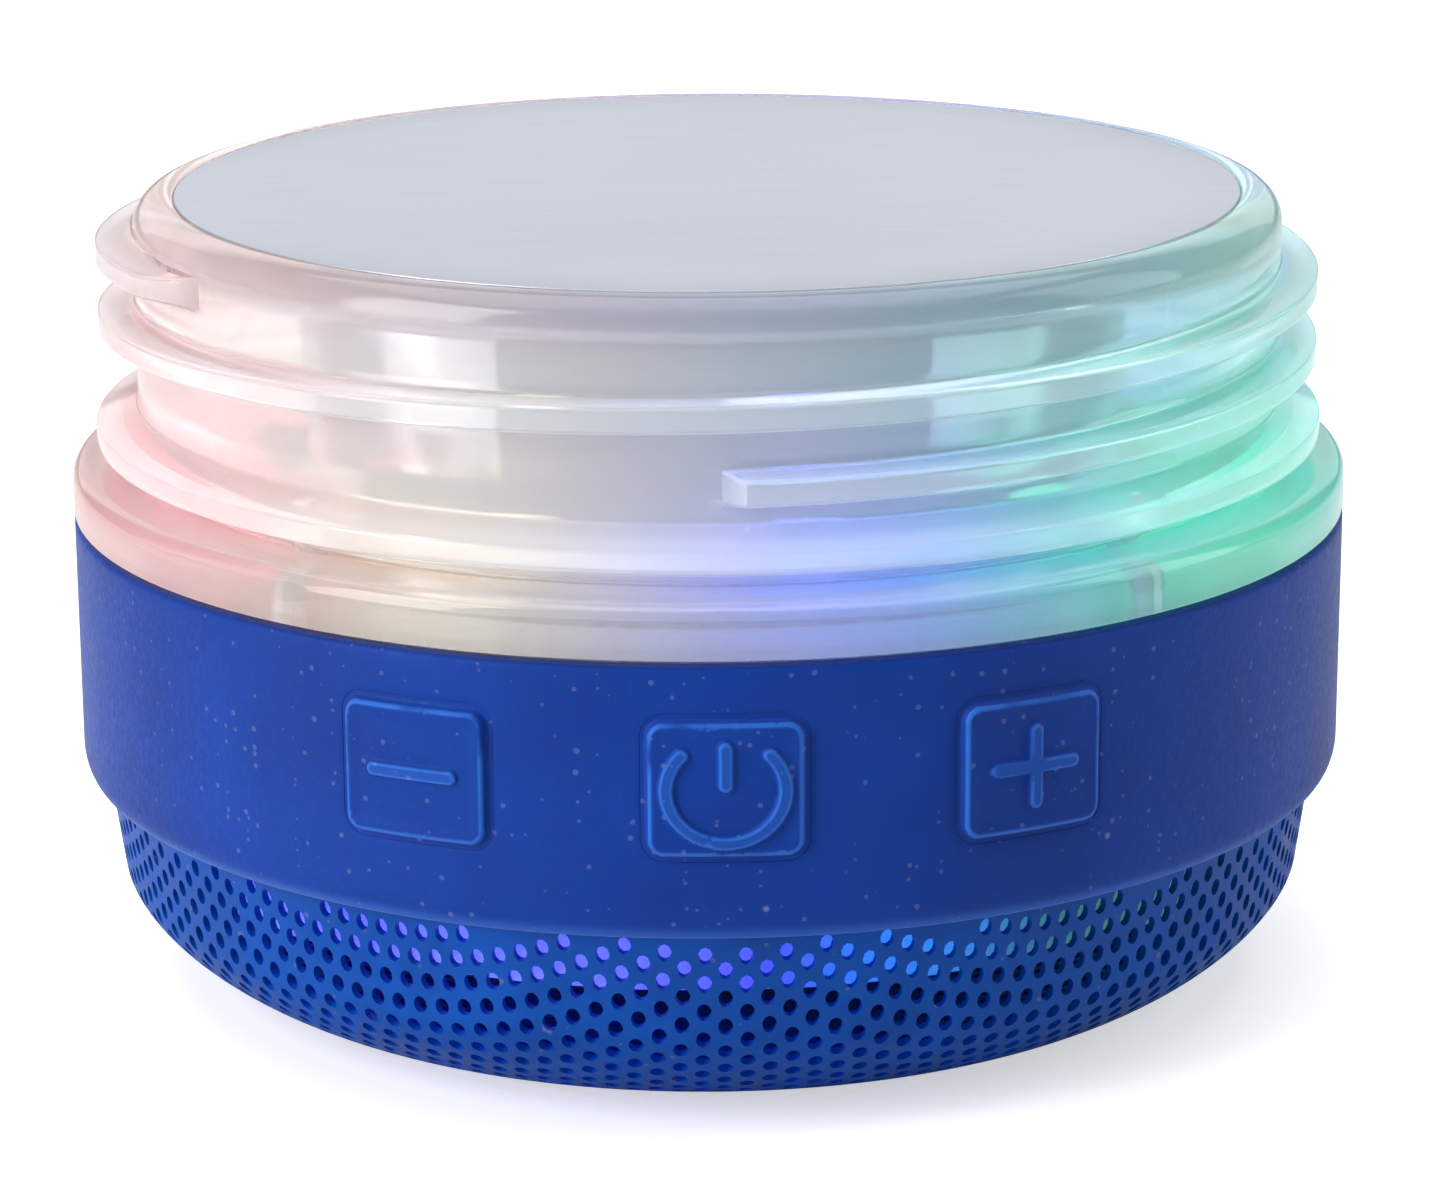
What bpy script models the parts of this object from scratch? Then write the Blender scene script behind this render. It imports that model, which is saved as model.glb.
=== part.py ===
"""Wireless speaker and light unit that screws into the base of a drinking bottle.

The frosted neck with its bottle thread is on top, the silicone button band is round the middle and the
perforated grille is the foot. Sizes below are in millimetres and are turned into metres when meshes are
made. The origin is the centre of the flat foot, +Z runs up the axis, and the buttons face -Y. An azimuth
is in degrees, 0 at the buttons and growing towards +X.
"""

import math

import bmesh
import bpy
from mathutils import Matrix, Vector

MM = 0.001
OUTER_SEGMENTS = 40
INNER_SEGMENTS = 24
SMALL_SEGMENTS = 12
ARC_STEPS = 3

# Fits
GAP = 0.3
MERGE = 1e-6

# Silicone band, the driving diameter
BAND_RADIUS = 35.0
BAND_WALL = 0.9
BAND_BOTTOM = 11.6
BAND_EDGE = (0.75, 1.4)
JOINT_HEIGHT = 26.0

# Neck shell
COLLAR_HEIGHT = 2.8
COLLAR_ROUND = 1.0
COLLAR_SHOULDER = 3.7
NECK_WALL = 1.8
NECK_ROUND = 2.0
NECK_TALL = 17.1
ROOF_WALL = 1.1
FLANGE_REACH = 2.6
LEDGE_WIDTH = 1.0
LEDGE_HEIGHT = 1.2
LEDGE_THICKNESS = 1.0
BEAD_PROUD = 2.3
BEAD_LIFT = 1.1
BEAD_LAND = 1.3
BEAD_SLOPE = 0.9

# Bottle thread
THREAD_PROUD = 2.0
THREAD_PITCH = 3.75
THREAD_TURNS = 1.84
THREAD_START_LIFT = 7.85
THREAD_LAND = 1.15
THREAD_UPPER_SLOPE = 0.25
THREAD_LOWER_SLOPE = 0.4
THREAD_SINK = 0.4

# Roof disc
DISC_INSET = 2.3
DISC_THICKNESS = 0.4

# Chassis
CHASSIS_WALL = 1.6
SKIRT_WALL = 1.2
SKIRT_BOTTOM = 7.95
BAFFLE_BOTTOM = 11.0
BAFFLE_THICKNESS = 2.2
BAFFLE_LIP = 1.5
SPIGOT_STEP = 12.4

# Grille
GRILLE_WALL = 0.8
GRILLE_DRAFT = 0.85
GRILLE_KNEE_DEPTH = 8.3
GRILLE_KNEE_HEIGHT = 6.0
GRILLE_KNEE_POWER = 1.5
GRILLE_KNEE_STEPS = 7

# Buttons
BUTTON_SPACING = 25.85
BUTTON_HEIGHT = 19.6
PAD_WIDTH = 7.8
PAD_TALL = 7.0
PAD_ROUND = 0.9
PAD_PROUD = 0.45
PAD_BACK = 0.4
ICON_PROUD = 0.2
ICON_STROKE = 0.7
ICON_BAR = 4.3
POWER_RING_RADIUS = 2.55
POWER_RING_GAP = 38.0
POWER_RING_STEPS = 12
BUTTON_TRAVEL = 0.5
KEY_WIDTH = 4.0
KEY_TALL = 2.6
KEY_FLANGE_WIDTH = 6.4
KEY_FLANGE = 0.9
STEM_SIZE = 1.6
STEM_PROUD = 1.6
STEM_DEPTH = 0.5
SWITCH_WIDTH = 4.6
SWITCH_TALL = 3.0
SWITCH_DEPTH = 3.3

# Boards
MAIN_BOARD_BOTTOM = 16.6
BOARD_THICKNESS = 1.2
MAIN_BOARD_EDGE_GAP = 1.6
MAIN_BOARD_MAGNET_GAP = 1.8
CONNECTOR_SIZE = (6.0, 4.0, 3.0)
MODULE_SIZE = (12.0, 9.0, 2.0)
MODULE_RADIUS = 23.5
CHIP_SIZE = (5.0, 5.0, 1.2)
CHIP_RADIUS = 23.0
LED_BOARD_THICKNESS = 0.9
LED_BOARD_LEAD_HOLE = 1.8
LED_COUNT = 10
LED_FIRST_AZIMUTH = 11.0
LED_EDGE_GAP = 2.6
LED_SIZE = 3.2
LED_TALL = 1.2

# Battery
BATTERY_WIDTH = 39.6
BATTERY_DEPTH = 32.4
BATTERY_ROUND = 8.5
BATTERY_EDGE = 0.5
CRADLE_WALL = 1.0
CRADLE_DEPTH = 28.0
CRADLE_ROUND = 2.0
PAD_FOAM_SIZE = (24.0, 20.0)
PAD_FOAM_THICKNESS = 1.2

# Charging port and its flap
PORT_WIDTH = 7.4
PORT_TALL = 2.8
PORT_DEPTH = 5.4
PORT_MOUTH_INSET = 0.9
PORT_WALL = 0.45
PORT_RECESS = 4.4
PORT_WINDOW = (9.4, 4.6)
FLAP_WIDTH = 13.0
FLAP_TALL = 7.0
FLAP_ROUND = 1.2
FLAP_TONGUE = (6.4, 2.2)
FLAP_GRIP = (6.0, 1.0)

# Loudspeaker
RIM_RADIUS = 25.2
RIM_INNER = 21.0
RIM_THICKNESS = 1.2
GASKET_THICKNESS = 0.5
FRAME_SHEET = 0.7
FRAME_FLOOR_TOP = 16.0
FRAME_FLOOR_RADIUS = 15.2
FRAME_FLOOR_CLEARANCE = 0.7
FRAME_WINDOW = (9.0, 3.6)
POLE_RADIUS = 6.2
COIL_WALL = 0.8
PLATE_RADIUS = 14.0
PLATE_THICKNESS = 2.0
MAGNET_RADIUS = 14.6
MAGNET_BORE_CLEARANCE = 1.3
MAGNET_THICKNESS = 3.8
YOKE_RADIUS = 14.2
YOKE_THICKNESS = 1.6
COIL_BOTTOM = 11.8
COIL_TOP = 19.4
CONE_EDGE_RADIUS = 17.4
CONE_EDGE_HEIGHT = 8.7
CONE_THROAT_HEIGHT = 11.9
CONE_SHEET = 0.5
GLUE_LIP = 1.6
SURROUND_SHEET = 0.5
SURROUND_ROLL = 1.9
SURROUND_STEPS = 8
SPIDER_RADIUS = 15.3
SPIDER_HEIGHT = 13.4
SPIDER_SHEET = 0.35
SPIDER_WAVE = 0.3
SPIDER_WAVES = 2
CAP_OVERLAP = 0.6
CAP_RISE = 2.3
CAP_STEPS = 5

# Fasteners
HOUSING_SCREW_INSET = 0.9
HOUSING_SCREW_AZIMUTH = 45.0
POST_RADIUS = 3.2
POST_COUNTERBORE = 2.0
POST_SHOULDER_DEPTH = 4.7
NECK_BOSS_RADIUS = 2.4
NECK_BOSS_TALL = 5.5
SCREW_HOLE_RADIUS = 1.3
SCREW_SHANK_RADIUS = 1.0
SCREW_HEAD_RADIUS = 1.7
SCREW_HEAD = 1.3
HOUSING_SCREW_BITE = 4.2
SPEAKER_SCREW_OUTSET = 1.4
SPEAKER_SCREW_TIP = 14.2
STANDOFF_RADIUS = 2.2
SLOT_DEPTH = 0.5
SLOT_WIDTH = 0.5

# Leads
BATTERY_LEAD_PLACE = (10.0, 18.2)
BATTERY_LEAD_SPACING = 1.6
SPEAKER_LEAD_AZIMUTH = 75.0
SPEAKER_LEAD_SPREAD = 4.0
LEAD_RADIUS = 0.5
LEAD_SMOOTH = 6

# Sizes that follow from the ones above
BAND_INNER = BAND_RADIUS - BAND_WALL
CHASSIS_RADIUS = BAND_INNER - GAP
CHASSIS_INNER = CHASSIS_RADIUS - CHASSIS_WALL
CHASSIS_FLAT = CHASSIS_INNER * math.cos(math.pi / OUTER_SEGMENTS)
SHELL_TOP = JOINT_HEIGHT - GAP
NECK_RADIUS = BAND_RADIUS - COLLAR_SHOULDER
NECK_INNER = NECK_RADIUS - NECK_WALL
ROOF_HEIGHT = JOINT_HEIGHT + NECK_TALL
ROOF_UNDERSIDE = ROOF_HEIGHT - DISC_THICKNESS - GAP - ROOF_WALL
DISC_RADIUS = NECK_RADIUS - DISC_INSET
FLANGE_INNER_RADIUS = NECK_INNER - FLANGE_REACH
LEDGE_BOTTOM = JOINT_HEIGHT + LEDGE_HEIGHT
LEDGE_TOP = LEDGE_BOTTOM + LEDGE_THICKNESS
LEDGE_RADIUS = FLANGE_INNER_RADIUS - LEDGE_WIDTH
BEAD_RADIUS = NECK_RADIUS + BEAD_PROUD
THREAD_RADIUS = NECK_RADIUS + THREAD_PROUD
THREAD_START_HEIGHT = JOINT_HEIGHT + THREAD_START_LIFT
LED_BOARD_RADIUS = FLANGE_INNER_RADIUS - GAP
LED_RING_RADIUS = LED_BOARD_RADIUS - LED_EDGE_GAP
LED_BOARD_TOP = LEDGE_BOTTOM - GAP
LED_BOARD_BOTTOM = LED_BOARD_TOP - LED_BOARD_THICKNESS
CRADLE_TOP = ROOF_UNDERSIDE - GAP
BATTERY_BOTTOM = LED_BOARD_TOP + PAD_FOAM_THICKNESS + 2 * GAP
BATTERY_TOP = CRADLE_TOP - CRADLE_WALL - GAP
HOUSING_SCREW_RING = NECK_INNER - HOUSING_SCREW_INSET
NECK_BOSS_TOP = JOINT_HEIGHT + NECK_BOSS_TALL
POST_SHOULDER = SHELL_TOP - POST_SHOULDER_DEPTH
HOUSING_SCREW_TIP = JOINT_HEIGHT + HOUSING_SCREW_BITE
GRILLE_RADIUS = CHASSIS_RADIUS
GRILLE_TOP = SPIGOT_STEP - GAP
SPIGOT_RADIUS = GRILLE_RADIUS - GRILLE_DRAFT - GRILLE_WALL - GAP
BAFFLE_TOP = BAFFLE_BOTTOM + BAFFLE_THICKNESS
BAFFLE_BORE = RIM_INNER + BAFFLE_LIP
GASKET_TOP = BAFFLE_BOTTOM - GAP
RIM_TOP = GASKET_TOP - GASKET_THICKNESS - GAP
RIM_BOTTOM = RIM_TOP - RIM_THICKNESS
SPEAKER_SCREW_RING = RIM_RADIUS + SPEAKER_SCREW_OUTSET
COIL_INNER = POLE_RADIUS + GAP
COIL_OUTER = COIL_INNER + COIL_WALL
THROAT_RADIUS = COIL_OUTER + GAP
CAP_RADIUS = THROAT_RADIUS + CAP_OVERLAP
FRAME_FLOOR_BORE = COIL_OUTER + FRAME_FLOOR_CLEARANCE
PLATE_BOTTOM = FRAME_FLOOR_TOP + GAP
MAGNET_BORE = COIL_OUTER + MAGNET_BORE_CLEARANCE
MAGNET_BOTTOM = PLATE_BOTTOM + PLATE_THICKNESS + GAP
YOKE_BOTTOM = MAGNET_BOTTOM + MAGNET_THICKNESS + GAP
MAIN_BOARD_TOP = MAIN_BOARD_BOTTOM + BOARD_THICKNESS
MAIN_BOARD_RADIUS = CHASSIS_INNER - MAIN_BOARD_EDGE_GAP
MAIN_BOARD_BORE = MAGNET_RADIUS + MAIN_BOARD_MAGNET_GAP
ON_BOARD = MAIN_BOARD_TOP + GAP
PORT_MOUTH_RADIUS = CHASSIS_INNER - PORT_MOUTH_INSET
PAD_INNER = BAND_INNER + PAD_BACK
KEY_OUTER = PAD_INNER - GAP
KEY_FLANGE_OUTER = math.sqrt((CHASSIS_FLAT - GAP) ** 2 - (KEY_FLANGE_WIDTH / 2) ** 2)
KEY_INNER = KEY_FLANGE_OUTER - KEY_FLANGE
STEM_OUTER = KEY_INNER - GAP
SWITCH_RECESS = STEM_DEPTH + BUTTON_TRAVEL + GAP
SWITCH_FRONT = STEM_OUTER - STEM_PROUD

# Colour, roughness and metallic value of each material
MATERIALS = {
    "frosted_plastic": ((0.80, 0.84, 0.84, 1.0), 0.45, 0.0),
    "satin_silver": ((0.60, 0.62, 0.68, 1.0), 0.35, 0.7),
    "blue_silicone": ((0.015, 0.065, 0.42, 1.0), 0.6, 0.0),
    "blue_paint": ((0.012, 0.07, 0.38, 1.0), 0.4, 0.2),
    "cell_foil": ((0.70, 0.70, 0.71, 1.0), 0.3, 0.9),
    "circuit_board": ((0.01, 0.16, 0.07, 1.0), 0.5, 0.0),
    "led_lens": ((0.95, 0.93, 0.80, 1.0), 0.3, 0.0),
    "white_plastic": ((0.80, 0.80, 0.78, 1.0), 0.5, 0.0),
    "black_plastic": ((0.02, 0.02, 0.02, 1.0), 0.5, 0.0),
    "black_foam": ((0.03, 0.03, 0.03, 1.0), 0.9, 0.0),
    "black_rubber": ((0.015, 0.015, 0.015, 1.0), 0.7, 0.0),
    "paper_cone": ((0.05, 0.05, 0.055, 1.0), 0.8, 0.0),
    "zinc_steel": ((0.62, 0.62, 0.60, 1.0), 0.35, 1.0),
    "ferrite": ((0.06, 0.06, 0.065, 1.0), 0.6, 0.3),
    "copper": ((0.72, 0.33, 0.15, 1.0), 0.35, 1.0),
    "linen": ((0.70, 0.52, 0.25, 1.0), 0.9, 0.0),
    "red_wire": ((0.60, 0.02, 0.02, 1.0), 0.5, 0.0),
    "black_wire": ((0.02, 0.02, 0.02, 1.0), 0.5, 0.0),
}


def clear_scene():
    for scene_object in list(bpy.data.objects):
        bpy.data.objects.remove(scene_object, do_unlink=True)


def material(name):
    """The named material, made the first time it is asked for."""
    found = bpy.data.materials.get(name)
    if found:
        return found
    colour, roughness, metallic = MATERIALS[name]
    made = bpy.data.materials.new(name)
    made.use_nodes = True
    shader = made.node_tree.nodes["Principled BSDF"]
    shader.inputs["Base Color"].default_value = colour
    shader.inputs["Roughness"].default_value = roughness
    shader.inputs["Metallic"].default_value = metallic
    made.diffuse_color = colour
    return made


def place(radius, azimuth, height):
    """Point in millimetres at a radius, an azimuth in degrees from the front, and a height."""
    angle = math.radians(azimuth)
    return Vector((radius * math.sin(angle), -radius * math.cos(angle), height))


def add_mesh(name, bm, finish, smooth_angle=35.0):
    """Makes the object of a bmesh drawn in millimetres, with its normals out."""
    bmesh.ops.remove_doubles(bm, verts=bm.verts, dist=MERGE / MM)
    bmesh.ops.recalc_face_normals(bm, faces=bm.faces)
    bmesh.ops.scale(bm, vec=(MM, MM, MM), verts=bm.verts)
    mesh = bpy.data.meshes.new(name)
    bm.to_mesh(mesh)
    bm.free()
    mesh.shade_smooth()
    mesh.set_sharp_from_angle(angle=math.radians(smooth_angle))
    made = bpy.data.objects.new(name, mesh)
    made.data.materials.append(material(finish))
    bpy.context.scene.collection.objects.link(made)
    return made


def rounded(points, steps=ARC_STEPS):
    """Outline with an arc at each corner that is given as (x, y, radius)."""
    outline = []
    count = len(points)
    for index, point in enumerate(points):
        corner = Vector(point[:2])
        if len(point) < 3:
            outline.append(corner)
            continue
        before = (Vector(points[index - 1][:2]) - corner).normalized()
        after = (Vector(points[(index + 1) % count][:2]) - corner).normalized()
        half = before.angle(after) / 2
        reach = point[2] / math.tan(half)
        centre = corner + (before + after).normalized() * (point[2] / math.sin(half))
        start = corner + before * reach - centre
        end = corner + after * reach - centre
        sweep = start.angle_signed(end)
        for step in range(steps + 1):
            outline.append(centre + Matrix.Rotation(-sweep * step / steps, 2) @ start)
    return outline


def turned(name, outline, finish, segments=OUTER_SEGMENTS, closed=True, smooth_angle=35.0):
    """Solid of revolution about Z. An outline that isn't closed has both ends on the axis."""
    bm = bmesh.new()
    verts = [bm.verts.new((point[0], 0.0, point[1])) for point in outline]
    pairs = list(zip(verts, verts[1:]))
    if closed:
        pairs.append((verts[-1], verts[0]))
    edges = [bm.edges.new(pair) for pair in pairs]
    bmesh.ops.spin(bm, geom=verts + edges, cent=(0, 0, 0), axis=(0, 0, 1), angle=math.tau,
                   steps=segments, use_merge=True)
    return add_mesh(name, bm, finish, smooth_angle)


def prism(name, outline, bottom, top, finish, bevel=0.0, turn=0.0):
    """Upright prism over an outline in X and Y, turned about Z by an angle in radians."""
    bm = bmesh.new()
    base = bm.faces.new([bm.verts.new((point[0], point[1], bottom)) for point in outline])
    grown = bmesh.ops.extrude_face_region(bm, geom=[base])
    moved = [item for item in grown["geom"] if isinstance(item, bmesh.types.BMVert)]
    bmesh.ops.translate(bm, vec=(0, 0, top - bottom), verts=moved)
    if bevel:
        level = [edge for edge in bm.edges if abs(edge.verts[0].co.z - edge.verts[1].co.z) < MERGE]
        bmesh.ops.bevel(bm, geom=level, offset=bevel, segments=2, profile=0.5, affect="EDGES")
    bmesh.ops.rotate(bm, cent=(0, 0, 0), matrix=Matrix.Rotation(turn, 3, "Z"), verts=bm.verts)
    return add_mesh(name, bm, finish)


def block(name, size, centre, azimuth, finish, bevel=0.0):
    """Box of a size (across, radial, tall) whose centre is (radius, height) at an azimuth."""
    across, radial, tall = size
    radius, height = centre
    bm = bmesh.new()
    bmesh.ops.create_cube(bm, size=1.0)
    bmesh.ops.scale(bm, vec=(across, radial, tall), verts=bm.verts)
    if bevel:
        bmesh.ops.bevel(bm, geom=bm.edges, offset=bevel, segments=1, profile=0.5, affect="EDGES")
    bmesh.ops.translate(bm, vec=(0, -radius, height), verts=bm.verts)
    turn = Matrix.Rotation(math.radians(azimuth), 3, "Z")
    bmesh.ops.rotate(bm, cent=(0, 0, 0), matrix=turn, verts=bm.verts)
    return add_mesh(name, bm, finish)


def rod(name, radius, bottom, top, centre, finish, segments=SMALL_SEGMENTS):
    """Upright cylinder whose axis passes through a point."""
    bm = bmesh.new()
    bmesh.ops.create_cone(bm, cap_ends=True, segments=segments, radius1=radius, radius2=radius,
                          depth=top - bottom)
    bmesh.ops.translate(bm, vec=(centre.x, centre.y, (top + bottom) / 2), verts=bm.verts)
    return add_mesh(name, bm, finish)


def wrapped_plate(name, width, tall, corner, inner, outer, azimuth, height, finish):
    """Plate with round corners that follows the band: its width is measured round the band."""
    columns = [-width / 2 + corner * (1 - math.cos(step * math.pi / 2 / ARC_STEPS))
               for step in range(ARC_STEPS + 1)]
    columns += [width / 6 * side for side in (-1, 1)] + [-column for column in reversed(columns)]
    bm = bmesh.new()
    rings = []
    for across in columns:
        into_corner = max(0.0, abs(across) - (width / 2 - corner))
        half = tall / 2 - corner + math.sqrt(max(corner * corner - into_corner * into_corner, 0.0))
        half = max(half, tall / 2 - corner)
        turn = azimuth + math.degrees(across / BAND_RADIUS)
        corners = ((inner, -half), (outer, -half), (outer, half), (inner, half))
        rings.append([bm.verts.new(place(radius, turn, height + rise)) for radius, rise in corners])
    for ring, following in zip(rings, rings[1:]):
        for side in range(4):
            following_side = (side + 1) % 4
            bm.faces.new((ring[side], ring[following_side], following[following_side], following[side]))
    bm.faces.new(rings[0])
    bm.faces.new(rings[-1])
    return add_mesh(name, bm, finish)


def wrapped_stroke(name, path, width, inner, outer, azimuth, height, finish):
    """Raised stroke on the band along a path of (across, up) points."""
    points = [Vector(point) for point in path]
    bm = bmesh.new()
    rings = []
    for index, point in enumerate(points):
        ahead = points[min(index + 1, len(points) - 1)] - points[max(index - 1, 0)]
        side = Vector((-ahead.y, ahead.x)).normalized() * (width / 2)
        ring = []
        for radius, offset in ((inner, side), (outer, side), (outer, -side), (inner, -side)):
            spot = point + offset
            turn = azimuth + math.degrees(spot.x / BAND_RADIUS)
            ring.append(bm.verts.new(place(radius, turn, height + spot.y)))
        rings.append(ring)
    for ring, following in zip(rings, rings[1:]):
        for side in range(4):
            following_side = (side + 1) % 4
            bm.faces.new((ring[side], ring[following_side], following[following_side], following[side]))
    bm.faces.new(rings[0])
    bm.faces.new(rings[-1])
    return add_mesh(name, bm, finish)


def as_helper(helper):
    """Hides a cutter or a shape that a Boolean has taken in."""
    helper.hide_render = True
    helper.display_type = "WIRE"
    return helper


def boolean(target, other, operation):
    modifier = target.modifiers.new(operation.title() + "_" + other.name, "BOOLEAN")
    modifier.operation = operation
    modifier.solver = "EXACT"
    modifier.object = as_helper(other)


def cut(target, *cutters):
    for cutter in cutters:
        boolean(target, cutter, "DIFFERENCE")


def join(target, *others):
    for other in others:
        boolean(target, other, "UNION")


def empty(name, location):
    """Empty on a joint's axis, for the pieces that move with it."""
    made = bpy.data.objects.new(name, None)
    made.location = location * MM
    bpy.context.scene.collection.objects.link(made)
    return made


def carry(parent, *children):
    """Parents pieces without moving them."""
    bpy.context.view_layer.update()
    for child in children:
        child.parent = parent
        child.matrix_parent_inverse = parent.matrix_world.inverted()


def thread_ridge(name, finish):
    """Right-hand ridge of the bottle thread, from its square start to its end."""
    steps = round(OUTER_SEGMENTS * THREAD_TURNS)
    root = NECK_RADIUS - THREAD_SINK
    half = THREAD_LAND / 2
    section = ((root, -half - THREAD_LOWER_SLOPE), (THREAD_RADIUS, -half), (THREAD_RADIUS, half),
               (root, half + THREAD_UPPER_SLOPE))
    bm = bmesh.new()
    rings = []
    for step in range(steps + 1):
        turn = 360 * THREAD_TURNS * step / steps
        height = THREAD_START_HEIGHT + THREAD_PITCH * turn / 360
        rings.append([bm.verts.new(place(radius, turn, height + rise)) for radius, rise in section])
    for ring, following in zip(rings, rings[1:]):
        for side in range(4):
            following_side = (side + 1) % 4
            bm.faces.new((ring[side], ring[following_side], following[following_side], following[side]))
    bm.faces.new(rings[0])
    bm.faces.new(rings[-1])
    return add_mesh(name, bm, finish)


def housing_screw_places():
    return [HOUSING_SCREW_AZIMUTH + 90 * index for index in range(4)]


def speaker_screw_places():
    return [90 * index for index in range(4)]


def make_neck():
    """Frosted shell with the roof, the bottle thread, the stop bead and the collar, and its silver disc."""
    collar_top = JOINT_HEIGHT + COLLAR_HEIGHT
    bead_bottom = collar_top + BEAD_LIFT
    recess = ROOF_HEIGHT - DISC_THICKNESS - GAP
    outline = rounded([
        (0, recess), (DISC_RADIUS + GAP, recess), (DISC_RADIUS + GAP, ROOF_HEIGHT),
        (NECK_RADIUS, ROOF_HEIGHT, NECK_ROUND - GAP), (NECK_RADIUS, bead_bottom + BEAD_LAND + BEAD_SLOPE),
        (BEAD_RADIUS, bead_bottom + BEAD_LAND), (BEAD_RADIUS, bead_bottom), (NECK_RADIUS, bead_bottom),
        (NECK_RADIUS, collar_top), (BAND_RADIUS, collar_top, COLLAR_ROUND), (BAND_RADIUS, JOINT_HEIGHT),
        (FLANGE_INNER_RADIUS, JOINT_HEIGHT), (FLANGE_INNER_RADIUS, LEDGE_BOTTOM),
        (LEDGE_RADIUS, LEDGE_BOTTOM), (LEDGE_RADIUS, LEDGE_TOP), (NECK_INNER, LEDGE_TOP),
        (NECK_INNER, ROOF_UNDERSIDE), (0, ROOF_UNDERSIDE),
    ])
    neck = turned("neck_shell", outline, "frosted_plastic", closed=False)
    join(neck, thread_ridge("thread_ridge", "frosted_plastic"))
    for azimuth in housing_screw_places():
        spot = place(HOUSING_SCREW_RING, azimuth, 0)
        join(neck, rod(f"neck_boss_{azimuth:.0f}", NECK_BOSS_RADIUS, LEDGE_BOTTOM + LEDGE_THICKNESS / 2,
                       NECK_BOSS_TOP, spot, "frosted_plastic"))
    for azimuth in housing_screw_places():
        spot = place(HOUSING_SCREW_RING, azimuth, 0)
        cut(neck, rod(f"neck_pilot_{azimuth:.0f}", SCREW_HOLE_RADIUS, JOINT_HEIGHT - 1,
                      HOUSING_SCREW_TIP + GAP, spot, "frosted_plastic"))
    turned("roof_disc", [(0, ROOF_HEIGHT), (DISC_RADIUS, ROOF_HEIGHT),
                         (DISC_RADIUS, ROOF_HEIGHT - DISC_THICKNESS), (0, ROOF_HEIGHT - DISC_THICKNESS)],
           "satin_silver", closed=False)


def make_battery():
    """Foil-wrapped cell in its hanging cradle, on a foam pad."""
    half_width = BATTERY_WIDTH / 2
    half_depth = BATTERY_DEPTH / 2
    plan = rounded([(-half_width, -half_depth, BATTERY_ROUND), (half_width, -half_depth, BATTERY_ROUND),
                    (half_width, half_depth, BATTERY_ROUND), (-half_width, half_depth, BATTERY_ROUND)], 6)
    prism("battery_cell", plan, BATTERY_BOTTOM, BATTERY_TOP, "cell_foil", bevel=BATTERY_EDGE)

    inner = half_width + GAP
    outer = inner + CRADLE_WALL
    top = CRADLE_TOP
    under = BATTERY_TOP + GAP
    section = rounded([(-outer, -top, CRADLE_ROUND), (outer, -top, CRADLE_ROUND), (outer, -BATTERY_BOTTOM),
                       (inner, -BATTERY_BOTTOM), (inner, -under), (-inner, -under), (-inner, -BATTERY_BOTTOM),
                       (-outer, -BATTERY_BOTTOM)])
    cradle = prism("battery_cradle", section, -CRADLE_DEPTH / 2, CRADLE_DEPTH / 2, "frosted_plastic")
    cradle.data.transform(Matrix.Rotation(-math.pi / 2, 4, "X"))

    across, deep = (size / 2 for size in PAD_FOAM_SIZE)
    prism("battery_pad", [(-across, -deep), (across, -deep), (across, deep), (-across, deep)],
          LED_BOARD_TOP + GAP, LED_BOARD_TOP + GAP + PAD_FOAM_THICKNESS, "black_foam")


def make_lights():
    """Round board under the neck with its ring of lamps."""
    board = turned("led_board", [(0, LED_BOARD_TOP), (LED_BOARD_RADIUS, LED_BOARD_TOP),
                                 (LED_BOARD_RADIUS, LED_BOARD_BOTTOM), (0, LED_BOARD_BOTTOM)],
                   "circuit_board", INNER_SEGMENTS, closed=False)
    cut(board, rod("led_board_lead_hole", LED_BOARD_LEAD_HOLE, LED_BOARD_BOTTOM - 1, LED_BOARD_TOP + 1,
                   Vector(BATTERY_LEAD_PLACE), "circuit_board"))
    bottom = LED_BOARD_TOP + GAP
    for index in range(LED_COUNT):
        azimuth = LED_FIRST_AZIMUTH + index * 360 / LED_COUNT
        block(f"led_{index + 1:02d}", (LED_SIZE, LED_SIZE, LED_TALL),
              (LED_RING_RADIUS, bottom + LED_TALL / 2), azimuth, "led_lens", bevel=0.3)


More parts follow.
